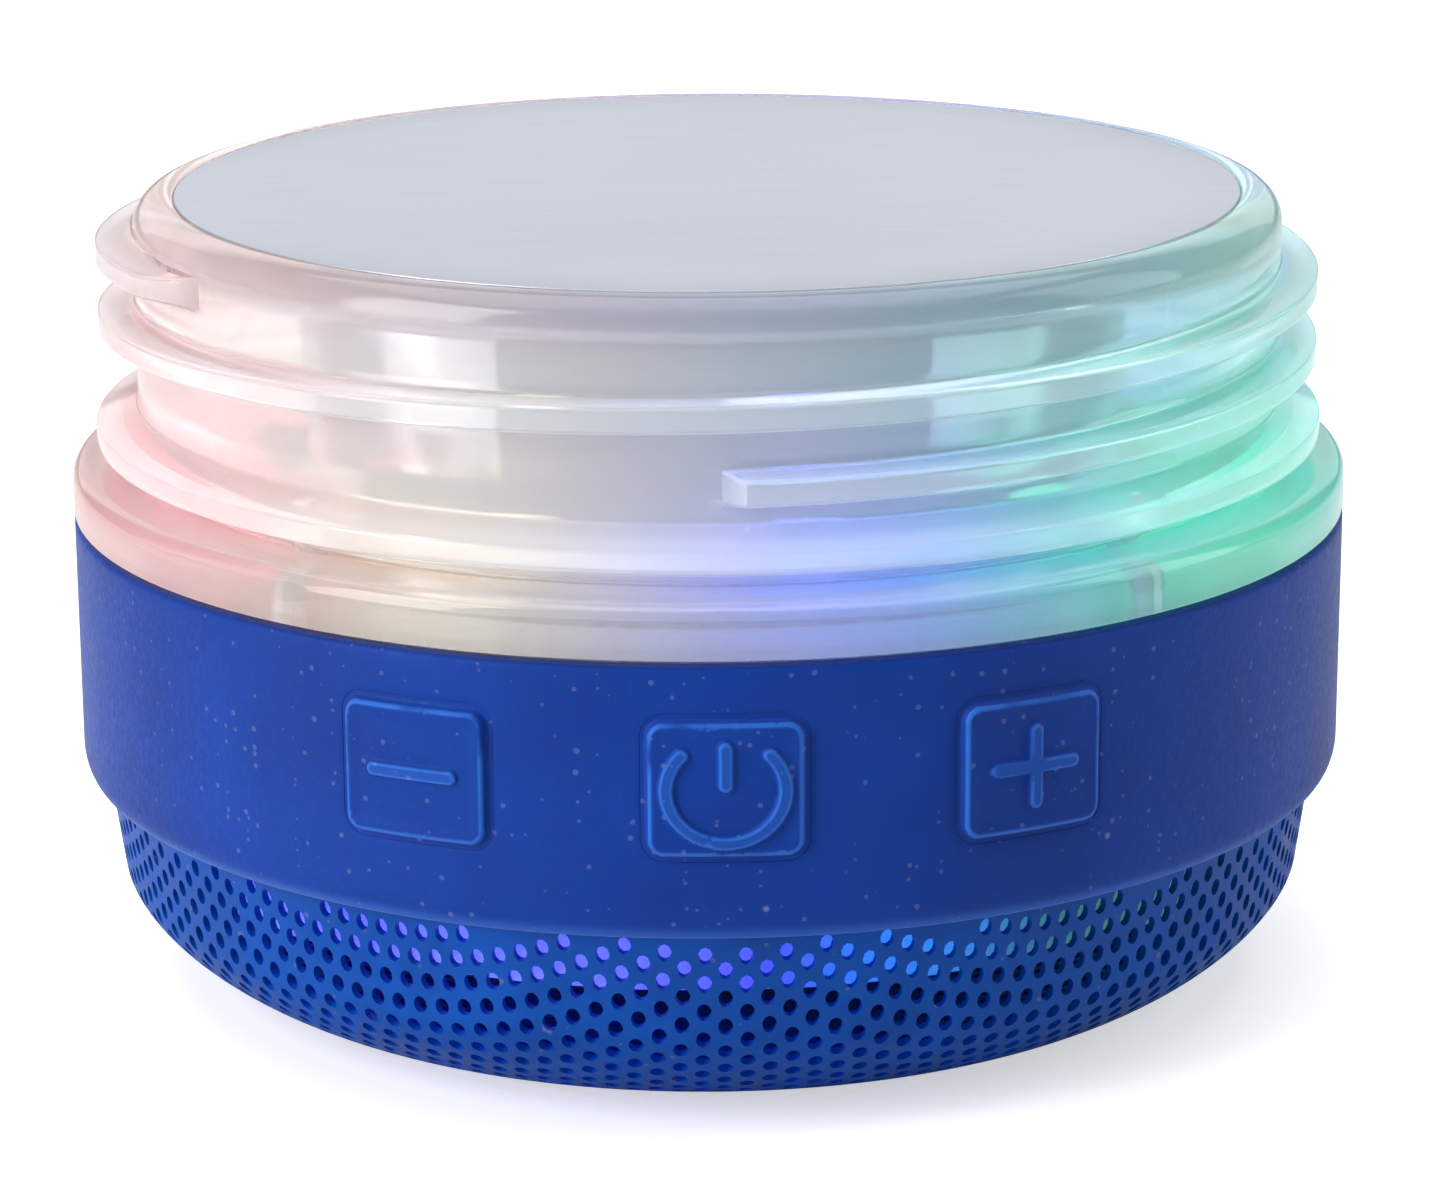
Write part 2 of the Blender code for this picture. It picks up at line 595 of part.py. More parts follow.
def make_chassis():
    """Translucent cup that carries the band, the grille, the boards and the loudspeaker."""
    outline = [
        (BAFFLE_BORE, BAFFLE_BOTTOM), (SPIGOT_RADIUS - SKIRT_WALL, BAFFLE_BOTTOM),
        (SPIGOT_RADIUS - SKIRT_WALL, SKIRT_BOTTOM), (SPIGOT_RADIUS, SKIRT_BOTTOM),
        (SPIGOT_RADIUS, SPIGOT_STEP), (CHASSIS_RADIUS, SPIGOT_STEP), (CHASSIS_RADIUS, SHELL_TOP),
        (CHASSIS_INNER, SHELL_TOP), (CHASSIS_INNER, BAFFLE_TOP), (BAFFLE_BORE, BAFFLE_TOP),
    ]
    chassis = turned("chassis", outline, "frosted_plastic")
    sunk = BAFFLE_TOP - BAFFLE_THICKNESS / 2
    for azimuth in housing_screw_places():
        spot = place(HOUSING_SCREW_RING, azimuth, 0)
        join(chassis, rod(f"post_{azimuth:.0f}", POST_RADIUS, sunk, SHELL_TOP, spot, "frosted_plastic"))
    for azimuth in speaker_screw_places():
        spot = place(SPEAKER_SCREW_RING, azimuth, 0)
        join(chassis, rod(f"standoff_{azimuth:.0f}", STANDOFF_RADIUS, sunk, MAIN_BOARD_BOTTOM - GAP, spot,
                          "frosted_plastic"))
    for azimuth in housing_screw_places():
        spot = place(HOUSING_SCREW_RING, azimuth, 0)
        cut(chassis,
            rod(f"counterbore_{azimuth:.0f}", POST_COUNTERBORE, BAFFLE_BOTTOM - 1, POST_SHOULDER, spot,
                "frosted_plastic"),
            rod(f"clearance_{azimuth:.0f}", SCREW_HOLE_RADIUS, POST_SHOULDER - 1, SHELL_TOP + 1, spot,
                "frosted_plastic"))
    for azimuth in speaker_screw_places():
        cut(chassis, rod(f"speaker_pilot_{azimuth:.0f}", SCREW_HOLE_RADIUS, BAFFLE_BOTTOM - 1,
                         SPEAKER_SCREW_TIP + GAP, place(SPEAKER_SCREW_RING, azimuth, 0), "frosted_plastic"))
    middle = (CHASSIS_RADIUS + CHASSIS_INNER) / 2
    for index in range(-1, 2):
        cut(chassis, block(f"key_window_{index}", (KEY_WIDTH + 2 * GAP, 4 * CHASSIS_WALL, KEY_TALL + 2 * GAP),
                           (middle, BUTTON_HEIGHT), index * BUTTON_SPACING, "frosted_plastic"))
    cut(chassis, block("port_window", (PORT_WINDOW[0], 4 * CHASSIS_WALL, PORT_WINDOW[1]),
                       (middle, ON_BOARD + PORT_TALL / 2), 180, "frosted_plastic"))


def make_band():
    """Silicone sleeve round the chassis, open at the buttons and at the charging port."""
    edge_width, edge_height = BAND_EDGE
    angles = [step * math.pi / 2 / ARC_STEPS for step in range(ARC_STEPS + 1)]
    edge = [(BAND_RADIUS - edge_width * (1 - math.sin(angle)),
             BAND_BOTTOM + edge_height * (1 - math.cos(angle))) for angle in angles]
    outline = [(BAND_INNER, BAND_BOTTOM), *edge, (BAND_RADIUS, SHELL_TOP), (BAND_INNER, SHELL_TOP)]
    band = turned("silicone_band", outline, "blue_silicone")
    inside = BAND_INNER - 1
    outside = BAND_RADIUS + 1
    for index in range(-1, 2):
        cut(band, wrapped_plate(f"pad_window_{index}", PAD_WIDTH + 2 * GAP, PAD_TALL + 2 * GAP,
                                PAD_ROUND + GAP, inside, outside, index * BUTTON_SPACING, BUTTON_HEIGHT,
                                "blue_silicone"))
    cut(band, wrapped_plate("flap_window", FLAP_WIDTH + 2 * GAP, FLAP_TALL + 2 * GAP, FLAP_ROUND + GAP,
                            inside, outside, 180, ON_BOARD + PORT_TALL / 2, "blue_silicone"))


def icon_paths(kind):
    """Strokes of a button's symbol, in (across, up) millimetres from its centre."""
    half = ICON_BAR / 2
    if kind == "minus":
        return [[(-half, 0), (half, 0)]]
    if kind == "plus":
        return [[(-half, 0), (half, 0)], [(0, -half), (0, half)]]
    first = math.radians(90 + POWER_RING_GAP)
    last = math.radians(450 - POWER_RING_GAP)
    angles = [first + (last - first) * step / POWER_RING_STEPS for step in range(POWER_RING_STEPS + 1)]
    ring = [(POWER_RING_RADIUS * math.cos(angle), POWER_RING_RADIUS * math.sin(angle)) for angle in angles]
    return [ring, [(0, POWER_RING_RADIUS * 0.25), (0, POWER_RING_RADIUS * 1.1)]]


def make_buttons():
    """Three silicone pads with the key, the stem and the switch behind each."""
    for index, kind in ((-1, "minus"), (0, "power"), (1, "plus")):
        azimuth = index * BUTTON_SPACING
        pad = wrapped_plate(f"{kind}_pad", PAD_WIDTH, PAD_TALL, PAD_ROUND, PAD_INNER,
                            BAND_RADIUS + PAD_PROUD, azimuth, BUTTON_HEIGHT, "blue_silicone")
        for number, path in enumerate(icon_paths(kind)):
            join(pad, wrapped_stroke(f"{kind}_icon_{number}", path, ICON_STROKE,
                                     BAND_RADIUS - number * 0.05, BAND_RADIUS + PAD_PROUD + ICON_PROUD
                                     - number * 0.02, azimuth, BUTTON_HEIGHT, "blue_silicone"))
        half_key = KEY_WIDTH / 2
        half_flange = KEY_FLANGE_WIDTH / 2
        key_plan = [(-half_flange, -KEY_INNER), (half_flange, -KEY_INNER), (half_flange, -KEY_FLANGE_OUTER),
                    (half_key, -KEY_FLANGE_OUTER), (half_key, -KEY_OUTER), (-half_key, -KEY_OUTER),
                    (-half_key, -KEY_FLANGE_OUTER), (-half_flange, -KEY_FLANGE_OUTER)]
        key = prism(f"{kind}_key", key_plan, BUTTON_HEIGHT - KEY_TALL / 2, BUTTON_HEIGHT + KEY_TALL / 2,
                    "white_plastic", turn=math.radians(azimuth))
        stem_length = STEM_PROUD + STEM_DEPTH
        stem = block(f"{kind}_stem", (STEM_SIZE, stem_length, STEM_SIZE),
                     (STEM_OUTER - stem_length / 2, BUTTON_HEIGHT), azimuth, "black_plastic")
        switch = block(f"{kind}_switch", (SWITCH_WIDTH, SWITCH_DEPTH, SWITCH_TALL),
                       (SWITCH_FRONT - SWITCH_DEPTH / 2, BUTTON_HEIGHT), azimuth, "zinc_steel")
        recess_size = (STEM_SIZE + 2 * GAP, 2 * SWITCH_RECESS, STEM_SIZE + 2 * GAP)
        cut(switch, block(f"{kind}_stem_recess", recess_size, (SWITCH_FRONT, BUTTON_HEIGHT), azimuth,
                          "zinc_steel"))
        carry(empty(f"{kind}_travel", place(BAND_RADIUS, azimuth, BUTTON_HEIGHT)), pad, key, stem)


def make_main_board():
    """Ring-shaped board round the magnet, with what is soldered on it."""
    outline = [(MAIN_BOARD_BORE, MAIN_BOARD_BOTTOM), (MAIN_BOARD_RADIUS, MAIN_BOARD_BOTTOM),
               (MAIN_BOARD_RADIUS, MAIN_BOARD_TOP), (MAIN_BOARD_BORE, MAIN_BOARD_TOP)]
    board = turned("main_board", outline, "circuit_board", INNER_SEGMENTS)
    for azimuth in housing_screw_places():
        cut(board, rod(f"post_notch_{azimuth:.0f}", POST_RADIUS + GAP, MAIN_BOARD_BOTTOM - 1,
                       MAIN_BOARD_TOP + 1, place(HOUSING_SCREW_RING, azimuth, 0), "circuit_board"))
    block("bluetooth_module", MODULE_SIZE, (MODULE_RADIUS, ON_BOARD + MODULE_SIZE[2] / 2), -90, "zinc_steel",
          bevel=0.3)
    block("amplifier_chip", CHIP_SIZE, (CHIP_RADIUS, ON_BOARD + CHIP_SIZE[2] / 2), 90, "black_plastic",
          bevel=0.2)
    across, behind = BATTERY_LEAD_PLACE
    connector = block("battery_connector", CONNECTOR_SIZE, (-behind, ON_BOARD + CONNECTOR_SIZE[2] / 2), 0,
                      "white_plastic", bevel=0.2)
    connector.data.transform(Matrix.Translation((across * MM, 0, 0)))


def make_port():
    """Charging socket on the board's rear edge, and the silicone flap over it."""
    height = ON_BOARD + PORT_TALL / 2
    port = block("charging_port", (PORT_WIDTH, PORT_DEPTH, PORT_TALL),
                 (PORT_MOUTH_RADIUS - PORT_DEPTH / 2, height), 180, "zinc_steel", bevel=0.25)
    cut(port, block("port_recess", (PORT_WIDTH - 2 * PORT_WALL, 2 * PORT_RECESS, PORT_TALL - 2 * PORT_WALL),
                    (PORT_MOUTH_RADIUS, height), 180, "zinc_steel"))
    flap = wrapped_plate("port_flap", FLAP_WIDTH, FLAP_TALL, FLAP_ROUND, BAND_INNER + GAP / 2, BAND_RADIUS,
                         180, height, "blue_silicone")
    tongue_end = PORT_MOUTH_RADIUS + GAP
    tongue_root = BAND_INNER + BAND_WALL / 2
    join(flap, block("flap_tongue", (FLAP_TONGUE[0], tongue_root - tongue_end, FLAP_TONGUE[1]),
                     ((tongue_end + tongue_root) / 2, height), 180, "blue_silicone"))
    grip_across, grip_tall = FLAP_GRIP
    join(flap, wrapped_plate("flap_grip", grip_across, grip_tall, grip_tall / 3, BAND_RADIUS - BAND_WALL / 3,
                             BAND_RADIUS + PAD_PROUD + ICON_PROUD, 180, height - FLAP_TALL / 2 + FLAP_ROUND,
                             "blue_silicone"))
    carry(empty("flap_hinge", place(BAND_RADIUS, 180, height + FLAP_TALL / 2)), flap)


def make_speaker():
    """Loudspeaker that fires down through the grille."""
    turned("speaker_gasket", [(BAFFLE_BORE + GAP, GASKET_TOP - GASKET_THICKNESS),
                              (RIM_RADIUS - GAP, GASKET_TOP - GASKET_THICKNESS),
                              (RIM_RADIUS - GAP, GASKET_TOP), (BAFFLE_BORE + GAP, GASKET_TOP)],
           "black_foam", INNER_SEGMENTS)
    wall_foot = RIM_INNER + 1.2 * FRAME_SHEET
    frame = turned("speaker_frame", [
        (RIM_INNER, RIM_BOTTOM), (RIM_RADIUS, RIM_BOTTOM), (RIM_RADIUS, RIM_TOP), (wall_foot, RIM_TOP),
        (FRAME_FLOOR_RADIUS, FRAME_FLOOR_TOP), (FRAME_FLOOR_BORE, FRAME_FLOOR_TOP),
        (FRAME_FLOOR_BORE, FRAME_FLOOR_TOP - FRAME_SHEET),
        (FRAME_FLOOR_RADIUS - FRAME_SHEET / 2, FRAME_FLOOR_TOP - FRAME_SHEET),
        (RIM_INNER, RIM_BOTTOM + FRAME_SHEET),
    ], "zinc_steel", INNER_SEGMENTS)
    window_across, window_tall = FRAME_WINDOW
    window_height = (RIM_TOP + FRAME_FLOOR_TOP) / 2
    for azimuth in housing_screw_places():
        cut(frame, block(f"frame_window_{azimuth:.0f}", (window_across, RIM_INNER, window_tall),
                         (RIM_INNER, window_height), azimuth, "zinc_steel"))

    turned("front_plate", [(COIL_OUTER + GAP, PLATE_BOTTOM), (PLATE_RADIUS, PLATE_BOTTOM),
                           (PLATE_RADIUS, PLATE_BOTTOM + PLATE_THICKNESS),
                           (COIL_OUTER + GAP, PLATE_BOTTOM + PLATE_THICKNESS)], "zinc_steel", INNER_SEGMENTS)
    turned("magnet", [(MAGNET_BORE, MAGNET_BOTTOM), (MAGNET_RADIUS, MAGNET_BOTTOM),
                      (MAGNET_RADIUS, MAGNET_BOTTOM + MAGNET_THICKNESS),
                      (MAGNET_BORE, MAGNET_BOTTOM + MAGNET_THICKNESS)], "ferrite", INNER_SEGMENTS)
    turned("yoke", [(0, PLATE_BOTTOM), (POLE_RADIUS, PLATE_BOTTOM), (POLE_RADIUS, YOKE_BOTTOM),
                    (YOKE_RADIUS, YOKE_BOTTOM), (YOKE_RADIUS, YOKE_BOTTOM + YOKE_THICKNESS),
                    (0, YOKE_BOTTOM + YOKE_THICKNESS)], "zinc_steel", INNER_SEGMENTS, closed=False)

    coil = turned("voice_coil", [(COIL_INNER, COIL_BOTTOM), (COIL_OUTER, COIL_BOTTOM), (COIL_OUTER, COIL_TOP),
                                 (COIL_INNER, COIL_TOP)], "copper", INNER_SEGMENTS)
    glue_radius = CONE_EDGE_RADIUS - GLUE_LIP
    cone = turned("cone", [
        (CONE_EDGE_RADIUS, CONE_EDGE_HEIGHT), (CONE_EDGE_RADIUS, CONE_EDGE_HEIGHT + CONE_SHEET),
        (glue_radius, CONE_EDGE_HEIGHT + CONE_SHEET), (THROAT_RADIUS, CONE_THROAT_HEIGHT + CONE_SHEET),
        (THROAT_RADIUS, CONE_THROAT_HEIGHT), (glue_radius - CONE_SHEET / 2, CONE_EDGE_HEIGHT),
    ], "paper_cone", INNER_SEGMENTS)
    cone_slope = (CONE_THROAT_HEIGHT - CONE_EDGE_HEIGHT) / (glue_radius - THROAT_RADIUS)
    cap_rim = CONE_THROAT_HEIGHT - GAP - (CAP_RADIUS - THROAT_RADIUS) * cone_slope
    angles = [step * math.pi / 2 / CAP_STEPS for step in range(CAP_STEPS + 1)]
    outer_dome = [(CAP_RADIUS * math.sin(angle), cap_rim - CAP_RISE * math.cos(angle)) for angle in angles]
    inner_dome = [(radius * (1 - CONE_SHEET / CAP_RADIUS), height + CONE_SHEET * (1 - radius / CAP_RADIUS))
                  for radius, height in reversed(outer_dome)]
    cap = turned("dust_cap", outer_dome + inner_dome, "black_rubber", INNER_SEGMENTS, closed=False)
    carry(empty("diaphragm_travel", Vector((0, 0, CONE_EDGE_HEIGHT))), coil, cone, cap)

    lip_top = min(RIM_BOTTOM, CONE_EDGE_HEIGHT) - GAP
    lip_bottom = lip_top - SURROUND_SHEET
    middle = (RIM_INNER + CONE_EDGE_RADIUS) / 2
    reach = (RIM_INNER - CONE_EDGE_RADIUS) / 2
    angles = [step * math.pi / SURROUND_STEPS for step in range(SURROUND_STEPS + 1)]
    under = [(middle + reach * math.cos(angle), lip_bottom - SURROUND_ROLL * math.sin(angle))
             for angle in angles]
    over = [(middle + (reach - SURROUND_SHEET) * math.cos(angle), lip_top - SURROUND_ROLL * math.sin(angle))
            for angle in reversed(angles)]
    turned("surround", [(RIM_RADIUS - GLUE_LIP, lip_top), (RIM_RADIUS - GLUE_LIP, lip_bottom), *under,
                        (glue_radius, lip_bottom), (glue_radius, lip_top), *over],
           "black_rubber", INNER_SEGMENTS)

    steps = SPIDER_WAVES * 4
    wave = [(THROAT_RADIUS + (SPIDER_RADIUS - THROAT_RADIUS) * step / steps,
             SPIDER_HEIGHT + SPIDER_WAVE * math.sin(step * math.tau * SPIDER_WAVES / steps))
            for step in range(steps + 1)]
    turned("spider", wave + [(radius, height + SPIDER_SHEET) for radius, height in reversed(wave)],
           "linen", INNER_SEGMENTS)


def make_grille():
    """Deep-drawn cup: a drafted wall, a soft knee and a flat foot. Its perforation is a surface finish."""
    knee_radius = GRILLE_RADIUS - GRILLE_DRAFT
    knee = [(knee_radius - GRILLE_KNEE_DEPTH * (1 - math.cos(angle) ** (2 / GRILLE_KNEE_POWER)),
             GRILLE_KNEE_HEIGHT * (1 - math.sin(angle) ** (2 / GRILLE_KNEE_POWER)))
            for angle in (step * math.pi / 2 / GRILLE_KNEE_STEPS for step in range(GRILLE_KNEE_STEPS + 1))]
    inner_scale = (knee_radius - GRILLE_WALL) / knee_radius
    inner = [(radius * inner_scale, GRILLE_WALL + height * (1 - GRILLE_WALL / GRILLE_KNEE_HEIGHT))
             for radius, height in knee]
    rim = [(GRILLE_RADIUS, GRILLE_TOP), (GRILLE_RADIUS - GRILLE_WALL, GRILLE_TOP)]
    outline = [(0, 0), *reversed(knee), *rim, *inner, (0, GRILLE_WALL)]
    turned("grille", outline, "blue_paint", closed=False, smooth_angle=50.0)


def make_screw(name, azimuth, ring, head_bottom, tip):
    """Pan-head screw driven upwards, with a slot in its head."""
    spot = place(ring, azimuth, 0)
    screw = turned(name, [(0, head_bottom), (SCREW_HEAD_RADIUS, head_bottom),
                          (SCREW_HEAD_RADIUS, head_bottom + SCREW_HEAD),
                          (SCREW_SHANK_RADIUS, head_bottom + SCREW_HEAD),
                          (SCREW_SHANK_RADIUS, tip - SCREW_SHANK_RADIUS), (0, tip)],
                   "zinc_steel", SMALL_SEGMENTS, closed=False)
    slot = block(name + "_slot", (4 * SCREW_HEAD_RADIUS, SLOT_WIDTH, 2 * SLOT_DEPTH), (0, head_bottom), 0,
                 "zinc_steel")
    for piece in (screw, slot):
        piece.data.transform(Matrix.Translation(spot * MM))
    cut(screw, slot)


def make_screws():
    for index, azimuth in enumerate(housing_screw_places()):
        make_screw(f"housing_screw_{index + 1}", azimuth, HOUSING_SCREW_RING,
                   POST_SHOULDER - GAP - SCREW_HEAD, HOUSING_SCREW_TIP)
    for index, azimuth in enumerate(speaker_screw_places()):
        make_screw(f"speaker_screw_{index + 1}", azimuth, SPEAKER_SCREW_RING,
                   RIM_BOTTOM - GAP - SCREW_HEAD, SPEAKER_SCREW_TIP)


def smooth_route(points):
    """Catmull-Rom curve through a lead's own points."""
    ends = [points[0] * 2 - points[1], *points, points[-1] * 2 - points[-2]]
    route = []
    for before, start, end, after in zip(ends, ends[1:], ends[2:], ends[3:]):
        for step in range(LEAD_SMOOTH):
            t = step / LEAD_SMOOTH
            route.append(0.5 * (2 * start + (end - before) * t + (2 * before - 5 * start + 4 * end - after)
                                * t * t + (3 * start - before - 3 * end + after) * t ** 3))
    route.append(points[-1])
    return route


def make_lead(name, points, finish):
    """Insulated wire along its whole route between two parts."""
    route = smooth_route([Vector(point) for point in points])
    curve = bpy.data.curves.new(name, "CURVE")
    curve.dimensions = "3D"
    curve.bevel_depth = LEAD_RADIUS * MM
    curve.bevel_resolution = 2
    curve.use_fill_caps = True
    spline = curve.splines.new("POLY")
    spline.points.add(len(route) - 1)
    for spot, point in zip(spline.points, route):
        spot.co = (*(point * MM), 1.0)
    made = bpy.data.objects.new(name, curve)
    made.data.materials.append(material(finish))
    bpy.context.scene.collection.objects.link(made)


def make_leads():
    """Battery leads down to their connector, and speaker leads out to the frame's edge."""
    across, behind = BATTERY_LEAD_PLACE
    connector_top = ON_BOARD + CONNECTOR_SIZE[2] + GAP
    lead_drop = (MAIN_BOARD_BORE + MAGNET_RADIUS) / 2
    for side, colour in ((-1, "red"), (1, "black")):
        beside = across + side * BATTERY_LEAD_SPACING / 2
        make_lead(f"battery_lead_{colour}", [
            (beside, BATTERY_DEPTH / 2 + GAP + LEAD_RADIUS, BATTERY_BOTTOM + 4.0),
            (beside, BATTERY_DEPTH / 2 + 0.6 + LEAD_RADIUS, BATTERY_BOTTOM + 1.0),
            (beside, behind, LED_BOARD_TOP),
            (beside, behind + 0.2, LED_BOARD_BOTTOM - 1.5),
            (beside, behind, connector_top),
        ], f"{colour}_wire")
        azimuth = SPEAKER_LEAD_AZIMUTH + side * SPEAKER_LEAD_SPREAD
        make_lead(f"speaker_lead_{colour}", [
            place(MAIN_BOARD_BORE + 4.6, azimuth, ON_BOARD + LEAD_RADIUS),
            place(MAIN_BOARD_BORE + 1.2, azimuth, ON_BOARD + LEAD_RADIUS + 0.5),
            place(lead_drop, azimuth, MAIN_BOARD_TOP + 0.6),
            place(lead_drop, azimuth, MAIN_BOARD_BOTTOM + 0.6),
            place(lead_drop, azimuth, FRAME_FLOOR_TOP + GAP),
        ], f"{colour}_wire")


def main():
    clear_scene()
    make_neck()
    make_battery()
    make_lights()
    make_chassis()
    make_band()
    make_buttons()
    make_main_board()
    make_port()
    make_speaker()
    make_grille()
    make_screws()
    make_leads()


main()
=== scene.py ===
"""Looks of the wireless speaker and light unit that screws into the base of a bottle.

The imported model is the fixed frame. The frosted neck, the silicone band with its keys and flap, the
perforated grille, the roof disc, the cradle, the cell and the speaker's surround and spider are modelled
here in full detail and stand for their plain solids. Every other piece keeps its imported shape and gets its
own finish. Sizes are in millimetres, and an azimuth is in degrees, 0 at the keys and growing towards +X.
"""

import logging
import math
from dataclasses import dataclass, field
from enum import Enum
from typing import Callable, Iterable, Sequence

import bmesh
import bpy
import numpy as np
from mathutils import Matrix, Vector

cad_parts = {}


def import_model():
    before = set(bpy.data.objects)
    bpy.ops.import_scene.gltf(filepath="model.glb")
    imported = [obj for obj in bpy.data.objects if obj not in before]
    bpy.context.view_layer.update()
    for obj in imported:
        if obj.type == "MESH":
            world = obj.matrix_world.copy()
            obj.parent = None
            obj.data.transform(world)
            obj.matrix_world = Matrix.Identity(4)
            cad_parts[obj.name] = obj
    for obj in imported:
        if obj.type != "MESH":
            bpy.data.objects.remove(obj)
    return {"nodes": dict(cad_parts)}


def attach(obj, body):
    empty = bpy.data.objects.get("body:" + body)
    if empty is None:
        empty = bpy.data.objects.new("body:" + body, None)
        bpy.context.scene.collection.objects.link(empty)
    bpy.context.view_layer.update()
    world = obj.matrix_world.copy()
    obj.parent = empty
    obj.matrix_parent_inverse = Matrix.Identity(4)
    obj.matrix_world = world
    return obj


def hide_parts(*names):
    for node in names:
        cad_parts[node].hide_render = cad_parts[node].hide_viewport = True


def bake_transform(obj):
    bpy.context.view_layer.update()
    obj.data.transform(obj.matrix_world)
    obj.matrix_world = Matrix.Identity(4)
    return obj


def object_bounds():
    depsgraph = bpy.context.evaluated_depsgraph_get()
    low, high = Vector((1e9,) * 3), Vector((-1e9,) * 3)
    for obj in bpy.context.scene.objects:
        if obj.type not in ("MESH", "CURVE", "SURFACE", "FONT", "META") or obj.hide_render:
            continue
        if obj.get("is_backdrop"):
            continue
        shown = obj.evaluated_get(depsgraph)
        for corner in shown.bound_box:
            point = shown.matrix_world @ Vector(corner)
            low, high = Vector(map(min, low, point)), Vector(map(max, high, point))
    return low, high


MM = 0.001
FULL_TURN = 360.0
LOG = logging.getLogger("speaker_looks")

Colour = tuple[float, float, float]
Socket = bpy.types.NodeSocket
SocketValue = float | Colour | Socket


# ---------------------------------------------------------------------------------------------------
# Node helpers


class NodeSheet:
    """Adds nodes to a node tree and links them."""

    def __init__(self, tree: bpy.types.NodeTree) -> None:
        """Keeps the tree.

        Args:
            tree: the node tree of a material or of a node group.
        """
        self.tree = tree

    def add(self, kind: str, inputs: dict | None = None, **settings) -> bpy.types.Node:
        """Adds one node.

        Args:
            kind: the node's type name, without the ShaderNode prefix.
            inputs: socket name or index to a value, or to the output socket that feeds it.
            **settings: the node's own properties.

        Returns:
            The new node.
        """
        name = kind if kind.startswith("NodeGroup") else "ShaderNode" + kind
        node = self.tree.nodes.new(name)
        for key, value in settings.items():
            setattr(node, key, value)
        for key, value in (inputs or {}).items():
            self.feed(node.inputs[key], value)
        return node

    def feed(self, socket: Socket, value: SocketValue) -> None:
        """Sets a socket, or links an output to it.

        Args:
            socket: the input socket.
            value: a constant, a colour of three numbers, or an output socket.
        """
        if isinstance(value, Socket):
            self.tree.links.new(value, socket)
        elif socket.type == "RGBA":
            socket.default_value = (*value[:3], 1.0)
        else:
            socket.default_value = value

    def math(self, operation: str, first: SocketValue, second: SocketValue = 0.0,
             third: SocketValue = 0.0, clamp: bool = False) -> Socket:
        """Adds a Math node.

        Args:
            operation: the Math node's operation.
            first: first value or socket.
            second: second value or socket.
            third: third value or socket.
            clamp: whether to keep the result from 0 to 1.

        Returns:
            The output socket.
        """
        inputs = {0: first, 1: second, 2: third}
        return self.add("Math", inputs, operation=operation, use_clamp=clamp).outputs[0]

    def ramp(self, value: Socket, low: SocketValue, high: SocketValue, to_low: float = 0.0,
             to_high: float = 1.0) -> Socket:
        """Maps a value smoothly from one range to another.

        Args:
            value: the value's socket.
            low: value that gives to_low.
            high: value that gives to_high.
            to_low: result at low.
            to_high: result at high.

        Returns:
            The output socket.
        """
        inputs = {"Value": value, "From Min": low, "From Max": high, "To Min": to_low, "To Max": to_high}
        return self.add("MapRange", inputs, interpolation_type="SMOOTHSTEP").outputs["Result"]

    def mix(self, factor: SocketValue, first: SocketValue, second: SocketValue,
            blend: str = "MIX") -> Socket:
        """Mixes two colours.

        Args:
            factor: share of the second colour, or its socket.
            first: first colour or socket.
            second: second colour or socket.
            blend: the Mix node's blend type.

        Returns:
            The output socket.
        """
        node = self.add("Mix", data_type="RGBA", blend_type=blend)
        self.feed(node.inputs["Factor"], factor)
        self.feed(node.inputs[6], first)
        self.feed(node.inputs[7], second)
        return node.outputs[2]

    def shade(self, colour: SocketValue, level: Socket) -> Socket:
        """Multiplies a colour by a grey level.

        Args:
            colour: the colour or its socket.
            level: the level's socket.

        Returns:
            The output socket.
        """
        grey = self.add("CombineColor", {0: level, 1: level, 2: level})
        return self.mix(1.0, colour, grey.outputs[0], "MULTIPLY")

    def from_axis(self, place: Socket) -> Socket:
        """Returns the distance of a place from the vertical axis."""
        flat = self.add("VectorMath", {0: place, 1: (1.0, 1.0, 0.0)}, operation="MULTIPLY").outputs[0]
        return self.add("VectorMath", {0: flat}, operation="LENGTH").outputs["Value"]

    def group(self, tree: bpy.types.NodeTree, **inputs: SocketValue) -> bpy.types.Node:
        """Places a shared node group.

        Args:
            tree: the group's node tree.
            **inputs: socket name, with _ for a space, to a value or socket.

        Returns:
            The group node.
        """
        node = self.tree.nodes.new("ShaderNodeGroup")
        node.node_tree = tree
        for key, value in inputs.items():
            self.feed(node.inputs[key.replace("_", " ")], value)
        return node


